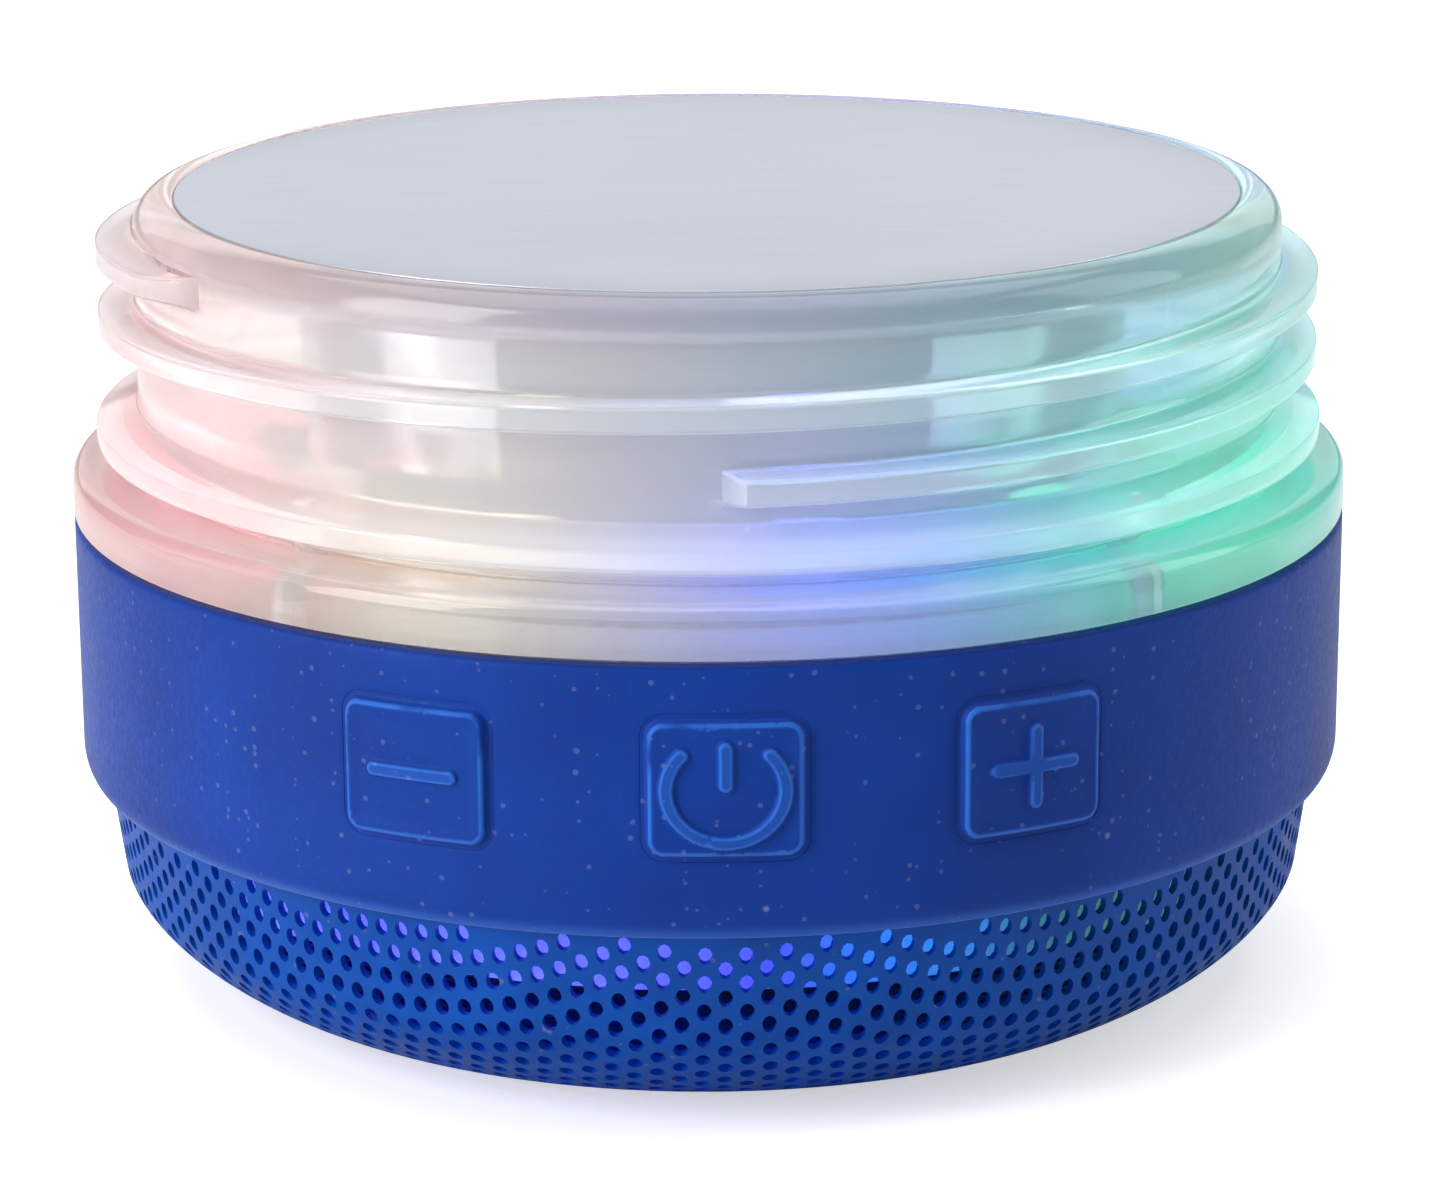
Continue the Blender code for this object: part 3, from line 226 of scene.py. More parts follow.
class SharedEffect:
    """A shader node group that several materials use."""

    _made: dict[str, bpy.types.NodeTree] = {}

    @classmethod
    def open(cls, name: str, inputs: dict[str, tuple[str, float | Colour]],
             outputs: dict[str, str]) -> tuple:
        """Starts a node group with named sockets.

        Args:
            name: the group's name.
            inputs: socket name to its type and default.
            outputs: socket name to its type.

        Returns:
            The tree, its NodeSheet, its input node and its output node.
        """
        tree = bpy.data.node_groups.new(name, "ShaderNodeTree")
        for key, (kind, value) in inputs.items():
            socket = tree.interface.new_socket(name=key, in_out="INPUT", socket_type="NodeSocket" + kind)
            if kind != "Vector":
                socket.default_value = (*value, 1.0) if kind == "Color" else value
        for key, kind in outputs.items():
            tree.interface.new_socket(name=key, in_out="OUTPUT", socket_type="NodeSocket" + kind)
        cls._made[name] = tree
        sheet = NodeSheet(tree)
        return tree, sheet, sheet.add("NodeGroupInput"), sheet.add("NodeGroupOutput")

    @classmethod
    def dust(cls) -> bpy.types.NodeTree:
        """Fine pale specks of dust. Returns the group with inputs Scale, Size and Share and output Mask."""
        if "dust_specks" in cls._made:
            return cls._made["dust_specks"]
        inputs = {"Scale": ("Float", 900.0), "Size": ("Float", 0.2), "Share": ("Float", 0.3)}
        tree, sheet, start, end = cls.open("dust_specks", inputs, {"Mask": "Float"})
        place = sheet.add("TexCoord").outputs["Object"]
        cells = sheet.add("TexVoronoi", {"Vector": place, "Scale": start.outputs["Scale"]})
        pick = sheet.add("SeparateColor", {"Color": cells.outputs["Color"]})
        chosen = sheet.math("LESS_THAN", pick.outputs[0], start.outputs["Share"])
        reach = sheet.math("MULTIPLY", start.outputs["Size"], pick.outputs[1])
        near = sheet.math("SUBTRACT", reach, cells.outputs["Distance"])
        soft = sheet.math("MULTIPLY", near, 12.0, clamp=True)
        sheet.feed(end.inputs["Mask"], sheet.math("MULTIPLY", soft, chosen))
        return tree

    @classmethod
    def mottle(cls) -> bpy.types.NodeTree:
        """Slow uneven tone. Returns the group with inputs Scale, Detail, Low, High and output Value."""
        if "uneven_tone" in cls._made:
            return cls._made["uneven_tone"]
        inputs = {"Scale": ("Float", 60.0), "Detail": ("Float", 4.0), "Low": ("Float", 0.0),
                  "High": ("Float", 1.0)}
        tree, sheet, start, end = cls.open("uneven_tone", inputs, {"Value": "Float"})
        place = sheet.add("TexCoord").outputs["Object"]
        noise = sheet.add("TexNoise", {"Vector": place, "Scale": start.outputs["Scale"],
                                       "Detail": start.outputs["Detail"]})
        spread = sheet.add("MapRange", {"Value": noise.outputs[0], "From Min": 0.3, "From Max": 0.7,
                                        "To Min": start.outputs["Low"], "To Max": start.outputs["High"]})
        sheet.feed(end.inputs["Value"], spread.outputs["Result"])
        return tree

    @classmethod
    def edge_rub(cls) -> bpy.types.NodeTree:
        """Worn edges, broken up by noise.

        Returns:
            The group with inputs Start, Scale, Amount, Gain and Break and output Mask.
        """
        if "edge_rub" in cls._made:
            return cls._made["edge_rub"]
        inputs = {"Start": ("Float", 0.53), "Scale": ("Float", 700.0), "Amount": ("Float", 1.0),
                  "Gain": ("Float", 14.0), "Break": ("Float", 0.42)}
        tree, sheet, start, end = cls.open("edge_rub", inputs, {"Mask": "Float"})
        point = sheet.add("NewGeometry").outputs["Pointiness"]
        place = sheet.add("TexCoord").outputs["Object"]
        over = sheet.math("SUBTRACT", point, start.outputs["Start"])
        edge = sheet.math("MULTIPLY", over, start.outputs["Gain"], clamp=True)
        noise = sheet.add("TexNoise", {"Vector": place, "Scale": start.outputs["Scale"], "Detail": 5.0})
        whole = sheet.math("ADD", start.outputs["Break"], 0.2)
        broken = sheet.ramp(noise.outputs[0], start.outputs["Break"], whole)
        rubbed = sheet.math("MULTIPLY", edge, broken)
        sheet.feed(end.inputs["Mask"], sheet.math("MULTIPLY", rubbed, start.outputs["Amount"], clamp=True))
        return tree

    @classmethod
    def grain(cls) -> bpy.types.NodeTree:
        """Fine surface grain.

        Returns:
            The group with inputs Scale, Depth and Stretch and outputs Normal and Value.
        """
        if "fine_grain" in cls._made:
            return cls._made["fine_grain"]
        inputs = {"Scale": ("Float", 2500.0), "Depth": ("Float", 0.1), "Stretch": ("Float", 1.0)}
        tree, sheet, start, end = cls.open("fine_grain", inputs, {"Normal": "Vector", "Value": "Float"})
        place = sheet.add("TexCoord").outputs["Object"]
        factors = sheet.add("CombineXYZ", {0: 1.0, 1: 1.0, 2: start.outputs["Stretch"]})
        pulled = sheet.add("VectorMath", {0: place, 1: factors.outputs[0]}, operation="MULTIPLY")
        noise = sheet.add("TexNoise", {"Vector": pulled.outputs[0], "Scale": start.outputs["Scale"],
                                       "Detail": 3.0})
        bump = sheet.add("Bump", {"Strength": start.outputs["Depth"], "Distance": 0.0001,
                                  "Height": noise.outputs[0]})
        sheet.feed(end.inputs["Normal"], bump.outputs[0])
        sheet.feed(end.inputs["Value"], noise.outputs[0])
        return tree

    @classmethod
    def lamp_glow(cls, lamps: "LampRing") -> bpy.types.NodeTree:
        """Painted coloured light: the glow that frosted plastic scatters near each lamp, falling off with
        distance.

        Args:
            lamps: the ring of lamps that lights it.

        Returns:
            The group with inputs Reach, in metres, and Strength, and output Colour.
        """
        if "lamp_glow" in cls._made:
            return cls._made["lamp_glow"]
        inputs = {"Reach": ("Float", 0.012), "Strength": ("Float", 1.0)}
        tree, sheet, start, end = cls.open("lamp_glow", inputs, {"Colour": "Color"})
        place = sheet.add("TexCoord").outputs["Object"]
        total = None
        for spot, colour in lamps.places():
            apart = sheet.add("VectorMath", {0: place, 1: spot * MM}, operation="SUBTRACT").outputs[0]
            pressed = sheet.add("VectorMath", {0: apart, 1: (1.0, 1.0, lamps.upward_loss)},
                                operation="MULTIPLY")
            gap = sheet.add("VectorMath", {0: pressed.outputs[0]}, operation="LENGTH").outputs["Value"]
            share = sheet.math("DIVIDE", gap, start.outputs["Reach"])
            drop = sheet.math("MULTIPLY", sheet.math("MULTIPLY", share, share), -1.0)
            bright = sheet.math("MULTIPLY", sheet.math("EXPONENT", drop), start.outputs["Strength"])
            tinted = sheet.add("VectorMath", {0: colour, "Scale": bright}, operation="SCALE").outputs[0]
            if total is None:
                total = tinted
            else:
                total = sheet.add("VectorMath", {0: total, 1: tinted}, operation="ADD").outputs[0]
        sheet.feed(end.inputs["Colour"], total)
        return tree


# ---------------------------------------------------------------------------------------------------
# Lamps


class LampColour(Enum):
    """Colours that the lamps show, as linear light."""

    RED = (1.2, 0.08, 0.2)
    YELLOW = (1.4, 1.2, 0.4)
    BLUE = (0.05, 0.12, 2.6)
    AZURE = (0.03, 0.45, 1.3)
    GREEN = (0.0, 1.3, 0.45)
    MAGENTA = (0.85, 0.08, 0.7)


@dataclass(frozen=True)
class LampRing:
    """The ring of lamps on its board, in the order of its azimuths."""

    radius: float = 24.0
    height: float = 28.0
    first_azimuth: float = 11.0
    upward_loss: float = 1.7
    colours: tuple[LampColour, ...] = (
        LampColour.BLUE, LampColour.GREEN, LampColour.GREEN, LampColour.AZURE, LampColour.BLUE,
        LampColour.MAGENTA, LampColour.YELLOW, LampColour.RED, LampColour.RED, LampColour.YELLOW,
    )

    def places(self) -> list[tuple[Vector, Colour]]:
        """Returns the centre and the colour of each lamp."""
        step = FULL_TURN / len(self.colours)
        return [(polar(self.radius, self.first_azimuth + step * index, self.height), colour.value)
                for index, colour in enumerate(self.colours)]


# ---------------------------------------------------------------------------------------------------
# Finishes


@dataclass(frozen=True)
class Finish:
    """A material's name, colour, roughness and metallic value; its subclasses add the surface detail."""

    name: str
    colour: Colour
    roughness: float = 0.5
    metallic: float = 0.0

    def make(self) -> bpy.types.Material:
        """Returns the material, made at its first use."""
        found = bpy.data.materials.get("look_" + self.name)
        if found:
            return found
        made = bpy.data.materials.new("look_" + self.name)
        made.use_nodes = True
        made.diffuse_color = (*self.colour, 1.0)
        shader = made.node_tree.nodes["Principled BSDF"]
        shader.inputs["Base Color"].default_value = (*self.colour, 1.0)
        shader.inputs["Roughness"].default_value = self.roughness
        shader.inputs["Metallic"].default_value = self.metallic
        self.detail(NodeSheet(made.node_tree), shader)
        return made

    def detail(self, sheet: NodeSheet, shader: bpy.types.Node) -> None:
        """Adds a moulded surface: slow tone, fine grain and uneven gloss.

        Args:
            sheet: the material's nodes.
            shader: its Principled shader.
        """
        tone = sheet.group(SharedEffect.mottle(), Scale=180.0, Low=0.86, High=1.1)
        sheet.feed(shader.inputs["Base Color"], sheet.shade(self.colour, tone.outputs[0]))
        grain = sheet.group(SharedEffect.grain(), Scale=1800.0, Depth=0.12)
        sheet.feed(shader.inputs["Normal"], grain.outputs["Normal"])
        gloss = sheet.ramp(grain.outputs["Value"], 0.3, 0.7, self.roughness * 0.85, self.roughness * 1.15)
        sheet.feed(shader.inputs["Roughness"], gloss)

    def spread_gloss(self, sheet: NodeSheet, shader: bpy.types.Node, level: Socket,
                     span: tuple[float, float], less: float, more: float) -> None:
        """Varies the roughness with a level.

        Args:
            sheet: the material's nodes.
            shader: its Principled shader.
            level: the level's socket.
            span: the levels between which the roughness changes.
            less: how far it falls below the finish's roughness at the first.
            more: how far it rises above it at the second.
        """
        rough = sheet.ramp(level, *span, self.roughness - less, self.roughness + more)
        sheet.feed(shader.inputs["Roughness"], rough)


@dataclass(frozen=True)
class FrostedPlastic(Finish):
    """Translucent frosted plastic, with the lamps' light from inside painted on as glow and as a tint of its
    colour.
    """

    clearness: float = 0.72
    near_reach: float = 0.0095
    far_reach: float = 0.021
    glow: float = 0.1
    far_share: float = 0.3
    painted_haze_glow: Colour = (0.08, 0.10, 0.11)
    painted_haze_radii: tuple[float, float] = (31.5, 33.2)
    collar_heights: tuple[float, float] = (28.4, 29.6)
    collar_shade: float = 0.66
    painted_lamp_tint: float = 0.22
    painted_tint_strength: float = 1.6
    painted_tint_most: Colour = (0.9, 0.9, 0.9)
    refraction: float = 1.4
    lamps: LampRing = LampRing()

    def detail(self, sheet: NodeSheet, shader: bpy.types.Node) -> None:
        """Adds clearness, painted lamp light as glow and as a tint of the base colour, painted shade below
        the collar, a painted milky glow and a faint ripple.

        Args:
            sheet: the material's nodes.
            shader: its Principled shader.
        """
        shader.inputs["Transmission Weight"].default_value = self.clearness
        shader.inputs["IOR"].default_value = self.refraction
        tone = sheet.group(SharedEffect.mottle(), Scale=70.0, Low=0.94, High=1.0)
        grey = sheet.add("CombineColor", {0: tone.outputs[0], 1: tone.outputs[0], 2: tone.outputs[0]})
        place = sheet.add("TexCoord").outputs["Object"]
        height = sheet.add("SeparateXYZ", {0: place}).outputs[2]
        # painted shade: the base colour darkens below the collar's top
        above = sheet.ramp(height, self.collar_heights[0] * MM, self.collar_heights[1] * MM)
        shade = sheet.math("ADD", self.collar_shade, sheet.math("MULTIPLY", above, 1 - self.collar_shade))
        shaded = sheet.add("VectorMath", {0: grey.outputs[0], "Scale": shade}, operation="SCALE").outputs[0]
        base = sheet.mix(1.0, self.colour, shaded, "MULTIPLY")
        # painted lamp light: the lamps' wide glow tints the base colour near them
        wide = sheet.group(SharedEffect.lamp_glow(self.lamps), Reach=self.far_reach,
                           Strength=self.painted_tint_strength)
        held = sheet.add("VectorMath", {0: wide.outputs[0], 1: self.painted_tint_most}, operation="MINIMUM")
        sheet.feed(shader.inputs["Base Color"], sheet.mix(self.painted_lamp_tint, base, held.outputs[0]))
        # painted glow: emission near each lamp stands in for its light scattered in the plastic
        glows = [sheet.group(SharedEffect.lamp_glow(self.lamps), Reach=reach, Strength=strength).outputs[0]
                 for reach, strength in ((self.near_reach, self.glow),
                                         (self.far_reach, self.glow * self.far_share))]
        both = sheet.add("VectorMath", {0: glows[0], 1: glows[1]}, operation="ADD")
        # painted milky glow: emission added near the outer surface above the collar
        out = sheet.ramp(sheet.from_axis(place), self.painted_haze_radii[0] * MM, self.painted_haze_radii[1] * MM)
        painted_haze_mask = sheet.math("MULTIPLY", out, above)
        painted_haze = sheet.add("VectorMath", {0: self.painted_haze_glow, "Scale": painted_haze_mask}, operation="SCALE").outputs[0]
        light = sheet.add("VectorMath", {0: both.outputs[0], 1: painted_haze}, operation="ADD")
        sheet.feed(shader.inputs["Emission Color"], light.outputs[0])
        shader.inputs["Emission Strength"].default_value = 1.0
        grain = sheet.group(SharedEffect.grain(), Scale=900.0, Depth=0.02)
        sheet.feed(shader.inputs["Normal"], grain.outputs["Normal"])


@dataclass(frozen=True)
class LitSkirt(Finish):
    """Translucent chassis with the lamps' light painted on its skirt, as glow behind the grille."""

    lit_below: float = 12.6

    def detail(self, sheet: NodeSheet, shader: bpy.types.Node) -> None:
        """Adds painted blue, azure and green glow by azimuth.

        Args:
            sheet: the material's nodes.
            shader: its Principled shader.
        """
        place = sheet.add("SeparateXYZ", {0: sheet.add("TexCoord").outputs["Object"]})
        front = sheet.math("MULTIPLY", place.outputs[1], -1.0)
        azimuth = sheet.math("DEGREES", sheet.math("ARCTAN2", place.outputs[0], front))
        stops = (
            (-180.0, (0.05, 0.10, 0.9)), (-100.0, (0.10, 0.03, 0.55)), (-60.0, (0.0, 0.01, 0.25)),
            (-44.0, (0.03, 0.05, 0.9)), (-30.0, (0.09, 0.12, 1.2)), (-3.0, (0.09, 0.12, 1.2)),
            (4.0, (0.03, 0.05, 1.0)), (11.0, (0.0, 0.15, 0.95)), (20.0, (0.0, 0.2, 0.7)),
            (32.0, (0.0, 0.10, 0.10)), (45.0, (0.0, 0.18, 0.06)), (62.0, (0.0, 0.24, 0.08)),
            (100.0, (0.0, 0.25, 0.12)), (180.0, (0.05, 0.10, 0.9)),
        )
        ramp = sheet.add("ValToRGB")
        sheet.feed(ramp.inputs[0], sheet.add("MapRange", {"Value": azimuth, "From Min": -180.0,
                                                          "From Max": 180.0}).outputs["Result"])
        elements = ramp.color_ramp.elements
        while len(elements) < len(stops):
            elements.new(0.5)
        for element, (turn, colour) in zip(elements, stops):
            element.position = (turn + 180.0) / 360.0
            element.color = (*colour, 1.0)
        tone = sheet.group(SharedEffect.mottle(), Scale=160.0, Low=0.75, High=1.15)
        low = sheet.math("LESS_THAN", place.outputs[2], self.lit_below * MM)
        level = sheet.math("MULTIPLY", tone.outputs[0], low)
        # painted glow: emission coloured by azimuth, only below lit_below
        light = sheet.add("VectorMath", {0: ramp.outputs[0], "Scale": level}, operation="SCALE")
        sheet.feed(shader.inputs["Emission Color"], light.outputs[0])
        shader.inputs["Emission Strength"].default_value = 1.0


@dataclass(frozen=True)
class SatinDisc(Finish):
    """Satin silver lacquer of the roof disc."""

    def detail(self, sheet: NodeSheet, shader: bpy.types.Node) -> None:
        """Adds a very fine brushed grain along X and a slow tone.

        Args:
            sheet: the material's nodes.
            shader: its Principled shader.
        """
        place = sheet.add("TexCoord").outputs["Object"]
        pulled = sheet.add("VectorMath", {0: place, 1: (0.06, 1.0, 1.0)}, operation="MULTIPLY")
        noise = sheet.add("TexNoise", {"Vector": pulled.outputs[0], "Scale": 2600.0, "Detail": 4.0})
        bump = sheet.add("Bump", {"Strength": 0.04, "Distance": 0.0001, "Height": noise.outputs[0]})
        sheet.feed(shader.inputs["Normal"], bump.outputs[0])
        tone = sheet.group(SharedEffect.mottle(), Scale=26.0, Low=0.95, High=1.03)
        sheet.feed(shader.inputs["Base Color"], sheet.shade(self.colour, tone.outputs[0]))
        self.spread_gloss(sheet, shader, noise.outputs[0], (0.3, 0.7), 0.03, 0.05)


@dataclass(frozen=True)
class MattSilicone(Finish):
    """Blue silicone rubber: matt, faintly translucent, with dust on it."""

    dust_and_highlight_blue: Colour = (0.025, 0.15, 0.62)
    hem: tuple[float, float] = (11.7, 12.5)
    proud_radii: tuple[float, float] = (35.08, 35.3)
    symbol_radii: tuple[float, float] = (35.47, 35.57)
    symbol_share: float = 0.3
    hem_share: float = 0.5
    dust_share: float = 0.34
    dust_colour: Colour = (0.42, 0.47, 0.60)
    fine_dust: float = 0.13
    coarse_dust: float = 0.35

    def detail(self, sheet: NodeSheet, shader: bpy.types.Node) -> None:
        """Adds lighter edges, raised symbols and hem, partly dusty bloom and partly painted highlight, slow
        tone, fine grain and specks of dust.

        Args:
            sheet: the material's nodes.
            shader: its Principled shader.
        """
        shader.inputs["Sheen Weight"].default_value = 0.18
        shader.inputs["Sheen Roughness"].default_value = 0.4
        shader.inputs["Specular IOR Level"].default_value = 0.14
        tone = sheet.group(SharedEffect.mottle(), Scale=90.0, Detail=6.0, Low=0.82, High=1.16)
        base = sheet.shade(self.colour, tone.outputs[0])
        rub = sheet.group(SharedEffect.edge_rub(), Start=0.503, Scale=260.0, Amount=0.8, Gain=40.0,
                          Break=0.28)
        place = sheet.add("TexCoord").outputs["Object"]
        reach = sheet.from_axis(place)
        proud = sheet.ramp(reach, self.proud_radii[0] * MM, self.proud_radii[1] * MM)
        symbol = sheet.ramp(reach, self.symbol_radii[0] * MM, self.symbol_radii[1] * MM, 0.0,
                            self.symbol_share)
        # lighter rubbed edges, raised symbols and bottom hem: partly dusty bloom, partly painted highlight
        dust_and_highlight = sheet.math("MAXIMUM", sheet.math("MULTIPLY", rub.outputs[0], proud), symbol)
        height = sheet.add("SeparateXYZ", {0: place}).outputs[2]
        hem = sheet.ramp(height, self.hem[0] * MM, self.hem[1] * MM, self.hem_share, 0.0)
        base = sheet.mix(sheet.math("MAXIMUM", dust_and_highlight, hem), base, self.dust_and_highlight_blue)
        fine = sheet.group(SharedEffect.dust(), Scale=1900.0, Size=0.34, Share=self.dust_share)
        coarse = sheet.group(SharedEffect.dust(), Scale=520.0, Size=0.13, Share=0.14)
        specks = sheet.math("MAXIMUM", sheet.math("MULTIPLY", fine.outputs[0], self.fine_dust),
                            sheet.math("MULTIPLY", coarse.outputs[0], self.coarse_dust))
        sheet.feed(shader.inputs["Base Color"], sheet.mix(specks, base, self.dust_colour))
        grain = sheet.group(SharedEffect.grain(), Scale=2600.0, Depth=0.22)
        sheet.feed(shader.inputs["Normal"], grain.outputs["Normal"])
        self.spread_gloss(sheet, shader, grain.outputs["Value"], (0.3, 0.7), 0.06, 0.08)


@dataclass(frozen=True)
class PaintedSheet(Finish):
    """Blue paint baked on punched steel, rubbed at the edges of its holes."""

    bare: Colour = (0.36, 0.40, 0.46)
    grime: Colour = (0.26, 0.22, 0.20)
    grime_share: float = 0.3

    def detail(self, sheet: NodeSheet, shader: bpy.types.Node) -> None:
        """Adds rubbed edges, grime and an orange-peel gloss.

        Args:
            sheet: the material's nodes.
            shader: its Principled shader.
        """
        shader.inputs["Specular IOR Level"].default_value = 0.15
        tone = sheet.group(SharedEffect.mottle(), Scale=240.0, Detail=6.0, Low=0.82, High=1.14)
        base = sheet.shade(self.colour, tone.outputs[0])
        rub = sheet.group(SharedEffect.edge_rub(), Start=0.62, Scale=1600.0, Amount=0.3)
        base = sheet.mix(rub.outputs[0], base, self.bare)
        specks = sheet.group(SharedEffect.dust(), Scale=1500.0, Size=0.3, Share=0.16)
        dirt = sheet.math("MULTIPLY", specks.outputs[0], self.grime_share)
        sheet.feed(shader.inputs["Base Color"], sheet.mix(dirt, base, self.grime))
        peel = sheet.group(SharedEffect.grain(), Scale=1100.0, Depth=0.1)
        sheet.feed(shader.inputs["Normal"], peel.outputs["Normal"])
        self.spread_gloss(sheet, shader, tone.outputs[0], (0.82, 1.14), 0.08, 0.12)


@dataclass(frozen=True)
class CellFoil(Finish):
    """Laminate foil of the cell, with an insulating film over its flat faces and the lamps' light painted on
    the film.
    """

    film_half_width: float = 11.15
    painted_light_left: Colour = (0.19, 0.17, 0.155)
    painted_light_right: Colour = (0.045, 0.13, 0.17)

    def detail(self, sheet: NodeSheet, shader: bpy.types.Node) -> None:
        """Adds vertical rolling lines and the film.

        Args:
            sheet: the material's nodes.
            shader: its Principled shader.
        """
        coordinates = sheet.add("TexCoord").outputs["Object"]
        place = sheet.add("SeparateXYZ", {0: coordinates})
        lines = sheet.group(SharedEffect.grain(), Scale=700.0, Depth=0.35, Stretch=0.02)
        sheet.feed(shader.inputs["Normal"], lines.outputs["Normal"])
        across = sheet.math("ABSOLUTE", place.outputs[0])
        film = sheet.math("LESS_THAN", across, self.film_half_width * MM)
        streak = sheet.ramp(lines.outputs["Value"], 0.35, 0.65, 0.72, 1.1)
        foil = sheet.shade(self.colour, streak)
        # painted lamp light: the film is warm on the left and teal on the right
        side = sheet.ramp(place.outputs[0], -self.film_half_width * MM, 0.4 * self.film_half_width * MM)
        painted_lamp_tint = sheet.mix(side, self.painted_light_left, self.painted_light_right)
        sheet.feed(shader.inputs["Base Color"], sheet.mix(film, foil, painted_lamp_tint))
        sheet.feed(shader.inputs["Metallic"], sheet.math("SUBTRACT", 1.0, sheet.math("MULTIPLY", film, 0.6)))
        self.spread_gloss(sheet, shader, streak, (0.72, 1.1), 0.06, 0.1)


@dataclass(frozen=True)
class CircuitBoard(Finish):
    """Solder mask with copper tracks under it and tinned pads."""

    track: Colour = (0.03, 0.30, 0.13)
    tin: Colour = (0.62, 0.62, 0.58)

    def detail(self, sheet: NodeSheet, shader: bpy.types.Node) -> None:
        """Adds tracks, vias and tinned pads.

        Args:
            sheet: the material's nodes.
            shader: its Principled shader.
        """
        place = sheet.add("TexCoord").outputs["Object"]
        flat = sheet.add("VectorMath", {0: place, 1: (1.0, 1.0, 0.0)}, operation="MULTIPLY").outputs[0]
        bricks = sheet.add("TexBrick", {"Vector": flat, "Scale": 420.0, "Mortar Size": 0.09,
                                        "Color1": (0, 0, 0), "Color2": (0, 0, 0), "Mortar": (1, 1, 1)})
        base = sheet.mix(bricks.outputs[0], self.colour, self.track)
        vias = sheet.group(SharedEffect.dust(), Scale=520.0, Size=0.35, Share=0.14)
        sheet.feed(shader.inputs["Base Color"], sheet.mix(vias.outputs[0], base, self.tin))
        sheet.feed(shader.inputs["Metallic"], vias.outputs[0])
        bump = sheet.add("Bump", {"Strength": 0.2, "Distance": 0.00005, "Height": bricks.outputs[1]})
        sheet.feed(shader.inputs["Normal"], bump.outputs[0])
        sheet.feed(shader.inputs["Roughness"], sheet.ramp(bricks.outputs[1], 0.0, 1.0, self.roughness, 0.3))


@dataclass(frozen=True)
class LampLens(Finish):
    """A lamp's lens, glowing in its own colour."""

    light: LampColour = LampColour.BLUE
    power: float = 0.5
    shadow: Colour = (0.5, 0.5, 0.48)

    def detail(self, sheet: NodeSheet, shader: bpy.types.Node) -> None:
        """Adds the glow over a pale housing.

        Args:
            sheet: the material's nodes.
            shader: its Principled shader.
        """
        tone = sheet.group(SharedEffect.mottle(), Scale=300.0, Low=0.8, High=1.0)
        glow = sheet.add("VectorMath", {0: self.light.value, "Scale": tone.outputs[0]}, operation="SCALE")
        sheet.feed(shader.inputs["Emission Color"], glow.outputs[0])
        shader.inputs["Emission Strength"].default_value = self.power
        sheet.feed(shader.inputs["Base Color"], sheet.mix(tone.outputs[0], self.shadow, self.colour))


@dataclass(frozen=True)
class PlatedMetal(Finish):
    """Zinc-plated, rolled or turned metal with handling marks."""

    spangle: float = 260.0
    rubbed: Colour = (0.8, 0.8, 0.8)

    def detail(self, sheet: NodeSheet, shader: bpy.types.Node) -> None:
        """Adds spangle, fine lines and rubbed edges.

        Args:
            sheet: the material's nodes.
            shader: its Principled shader.
        """
        tone = sheet.group(SharedEffect.mottle(), Scale=self.spangle, Detail=3.0, Low=0.8, High=1.08)
        base = sheet.shade(self.colour, tone.outputs[0])
        rub = sheet.group(SharedEffect.edge_rub(), Start=0.52, Scale=900.0, Amount=0.5)
        sheet.feed(shader.inputs["Base Color"], sheet.mix(rub.outputs[0], base, self.rubbed))
        lines = sheet.group(SharedEffect.grain(), Scale=1500.0, Depth=0.15, Stretch=0.15)
        sheet.feed(shader.inputs["Normal"], lines.outputs["Normal"])
        self.spread_gloss(sheet, shader, tone.outputs[0], (0.8, 1.08), 0.08, 0.1)


@dataclass(frozen=True)
class FibrePulp(Finish):
    """Pressed fibre, foam or cloth: matt with visible fibres or cells."""

    fibre_scale: float = 1400.0
    depth: float = 0.6

    def detail(self, sheet: NodeSheet, shader: bpy.types.Node) -> None:
        """Adds fibres as colour and relief.

        Args:
            sheet: the material's nodes.
            shader: its Principled shader.
        """
        fibre = sheet.group(SharedEffect.grain(), Scale=self.fibre_scale, Depth=self.depth, Stretch=0.4)
        light = tuple(min(1.0, channel * 1.6 + 0.015) for channel in self.colour)
        share = sheet.ramp(fibre.outputs["Value"], 0.4, 0.65)
        sheet.feed(shader.inputs["Base Color"], sheet.mix(share, self.colour, light))
        sheet.feed(shader.inputs["Normal"], fibre.outputs["Normal"])


@dataclass(frozen=True)
class WoundCopper(Finish):
    """Enamelled wire wound turn on turn round a former."""

    wire: float = 0.25

    def detail(self, sheet: NodeSheet, shader: bpy.types.Node) -> None:
        """Adds the turns as relief and, along the axis, painted shade in the grooves between them.

        Args:
            sheet: the material's nodes.
            shader: its Principled shader.
        """
        place = sheet.add("SeparateXYZ", {0: sheet.add("TexCoord").outputs["Object"]})
        wave = sheet.math("SINE", sheet.math("MULTIPLY", place.outputs[2], math.tau / (self.wire * MM)))
        bump = sheet.add("Bump", {"Strength": 0.6, "Distance": 0.0001, "Height": wave})
        sheet.feed(shader.inputs["Normal"], bump.outputs[0])
        # painted shade: darker in the grooves between turns
        groove_shade = tuple(channel * 0.45 for channel in self.colour)
        sheet.feed(shader.inputs["Base Color"], sheet.mix(sheet.ramp(wave, -1.0, 0.6), groove_shade, self.colour))


# ---------------------------------------------------------------------------------------------------
# Mesh helpers


def polar(radius: float, azimuth: float, height: float) -> Vector:
    """Turns a radius, an azimuth and a height into a point.

    Args:
        radius: distance from the axis in millimetres.
        azimuth: degrees from the front, towards +X.
        height: millimetres above the foot.

    Returns:
        The point in millimetres.
    """
    turn = math.radians(azimuth)
    return Vector((radius * math.sin(turn), -radius * math.cos(turn), height))


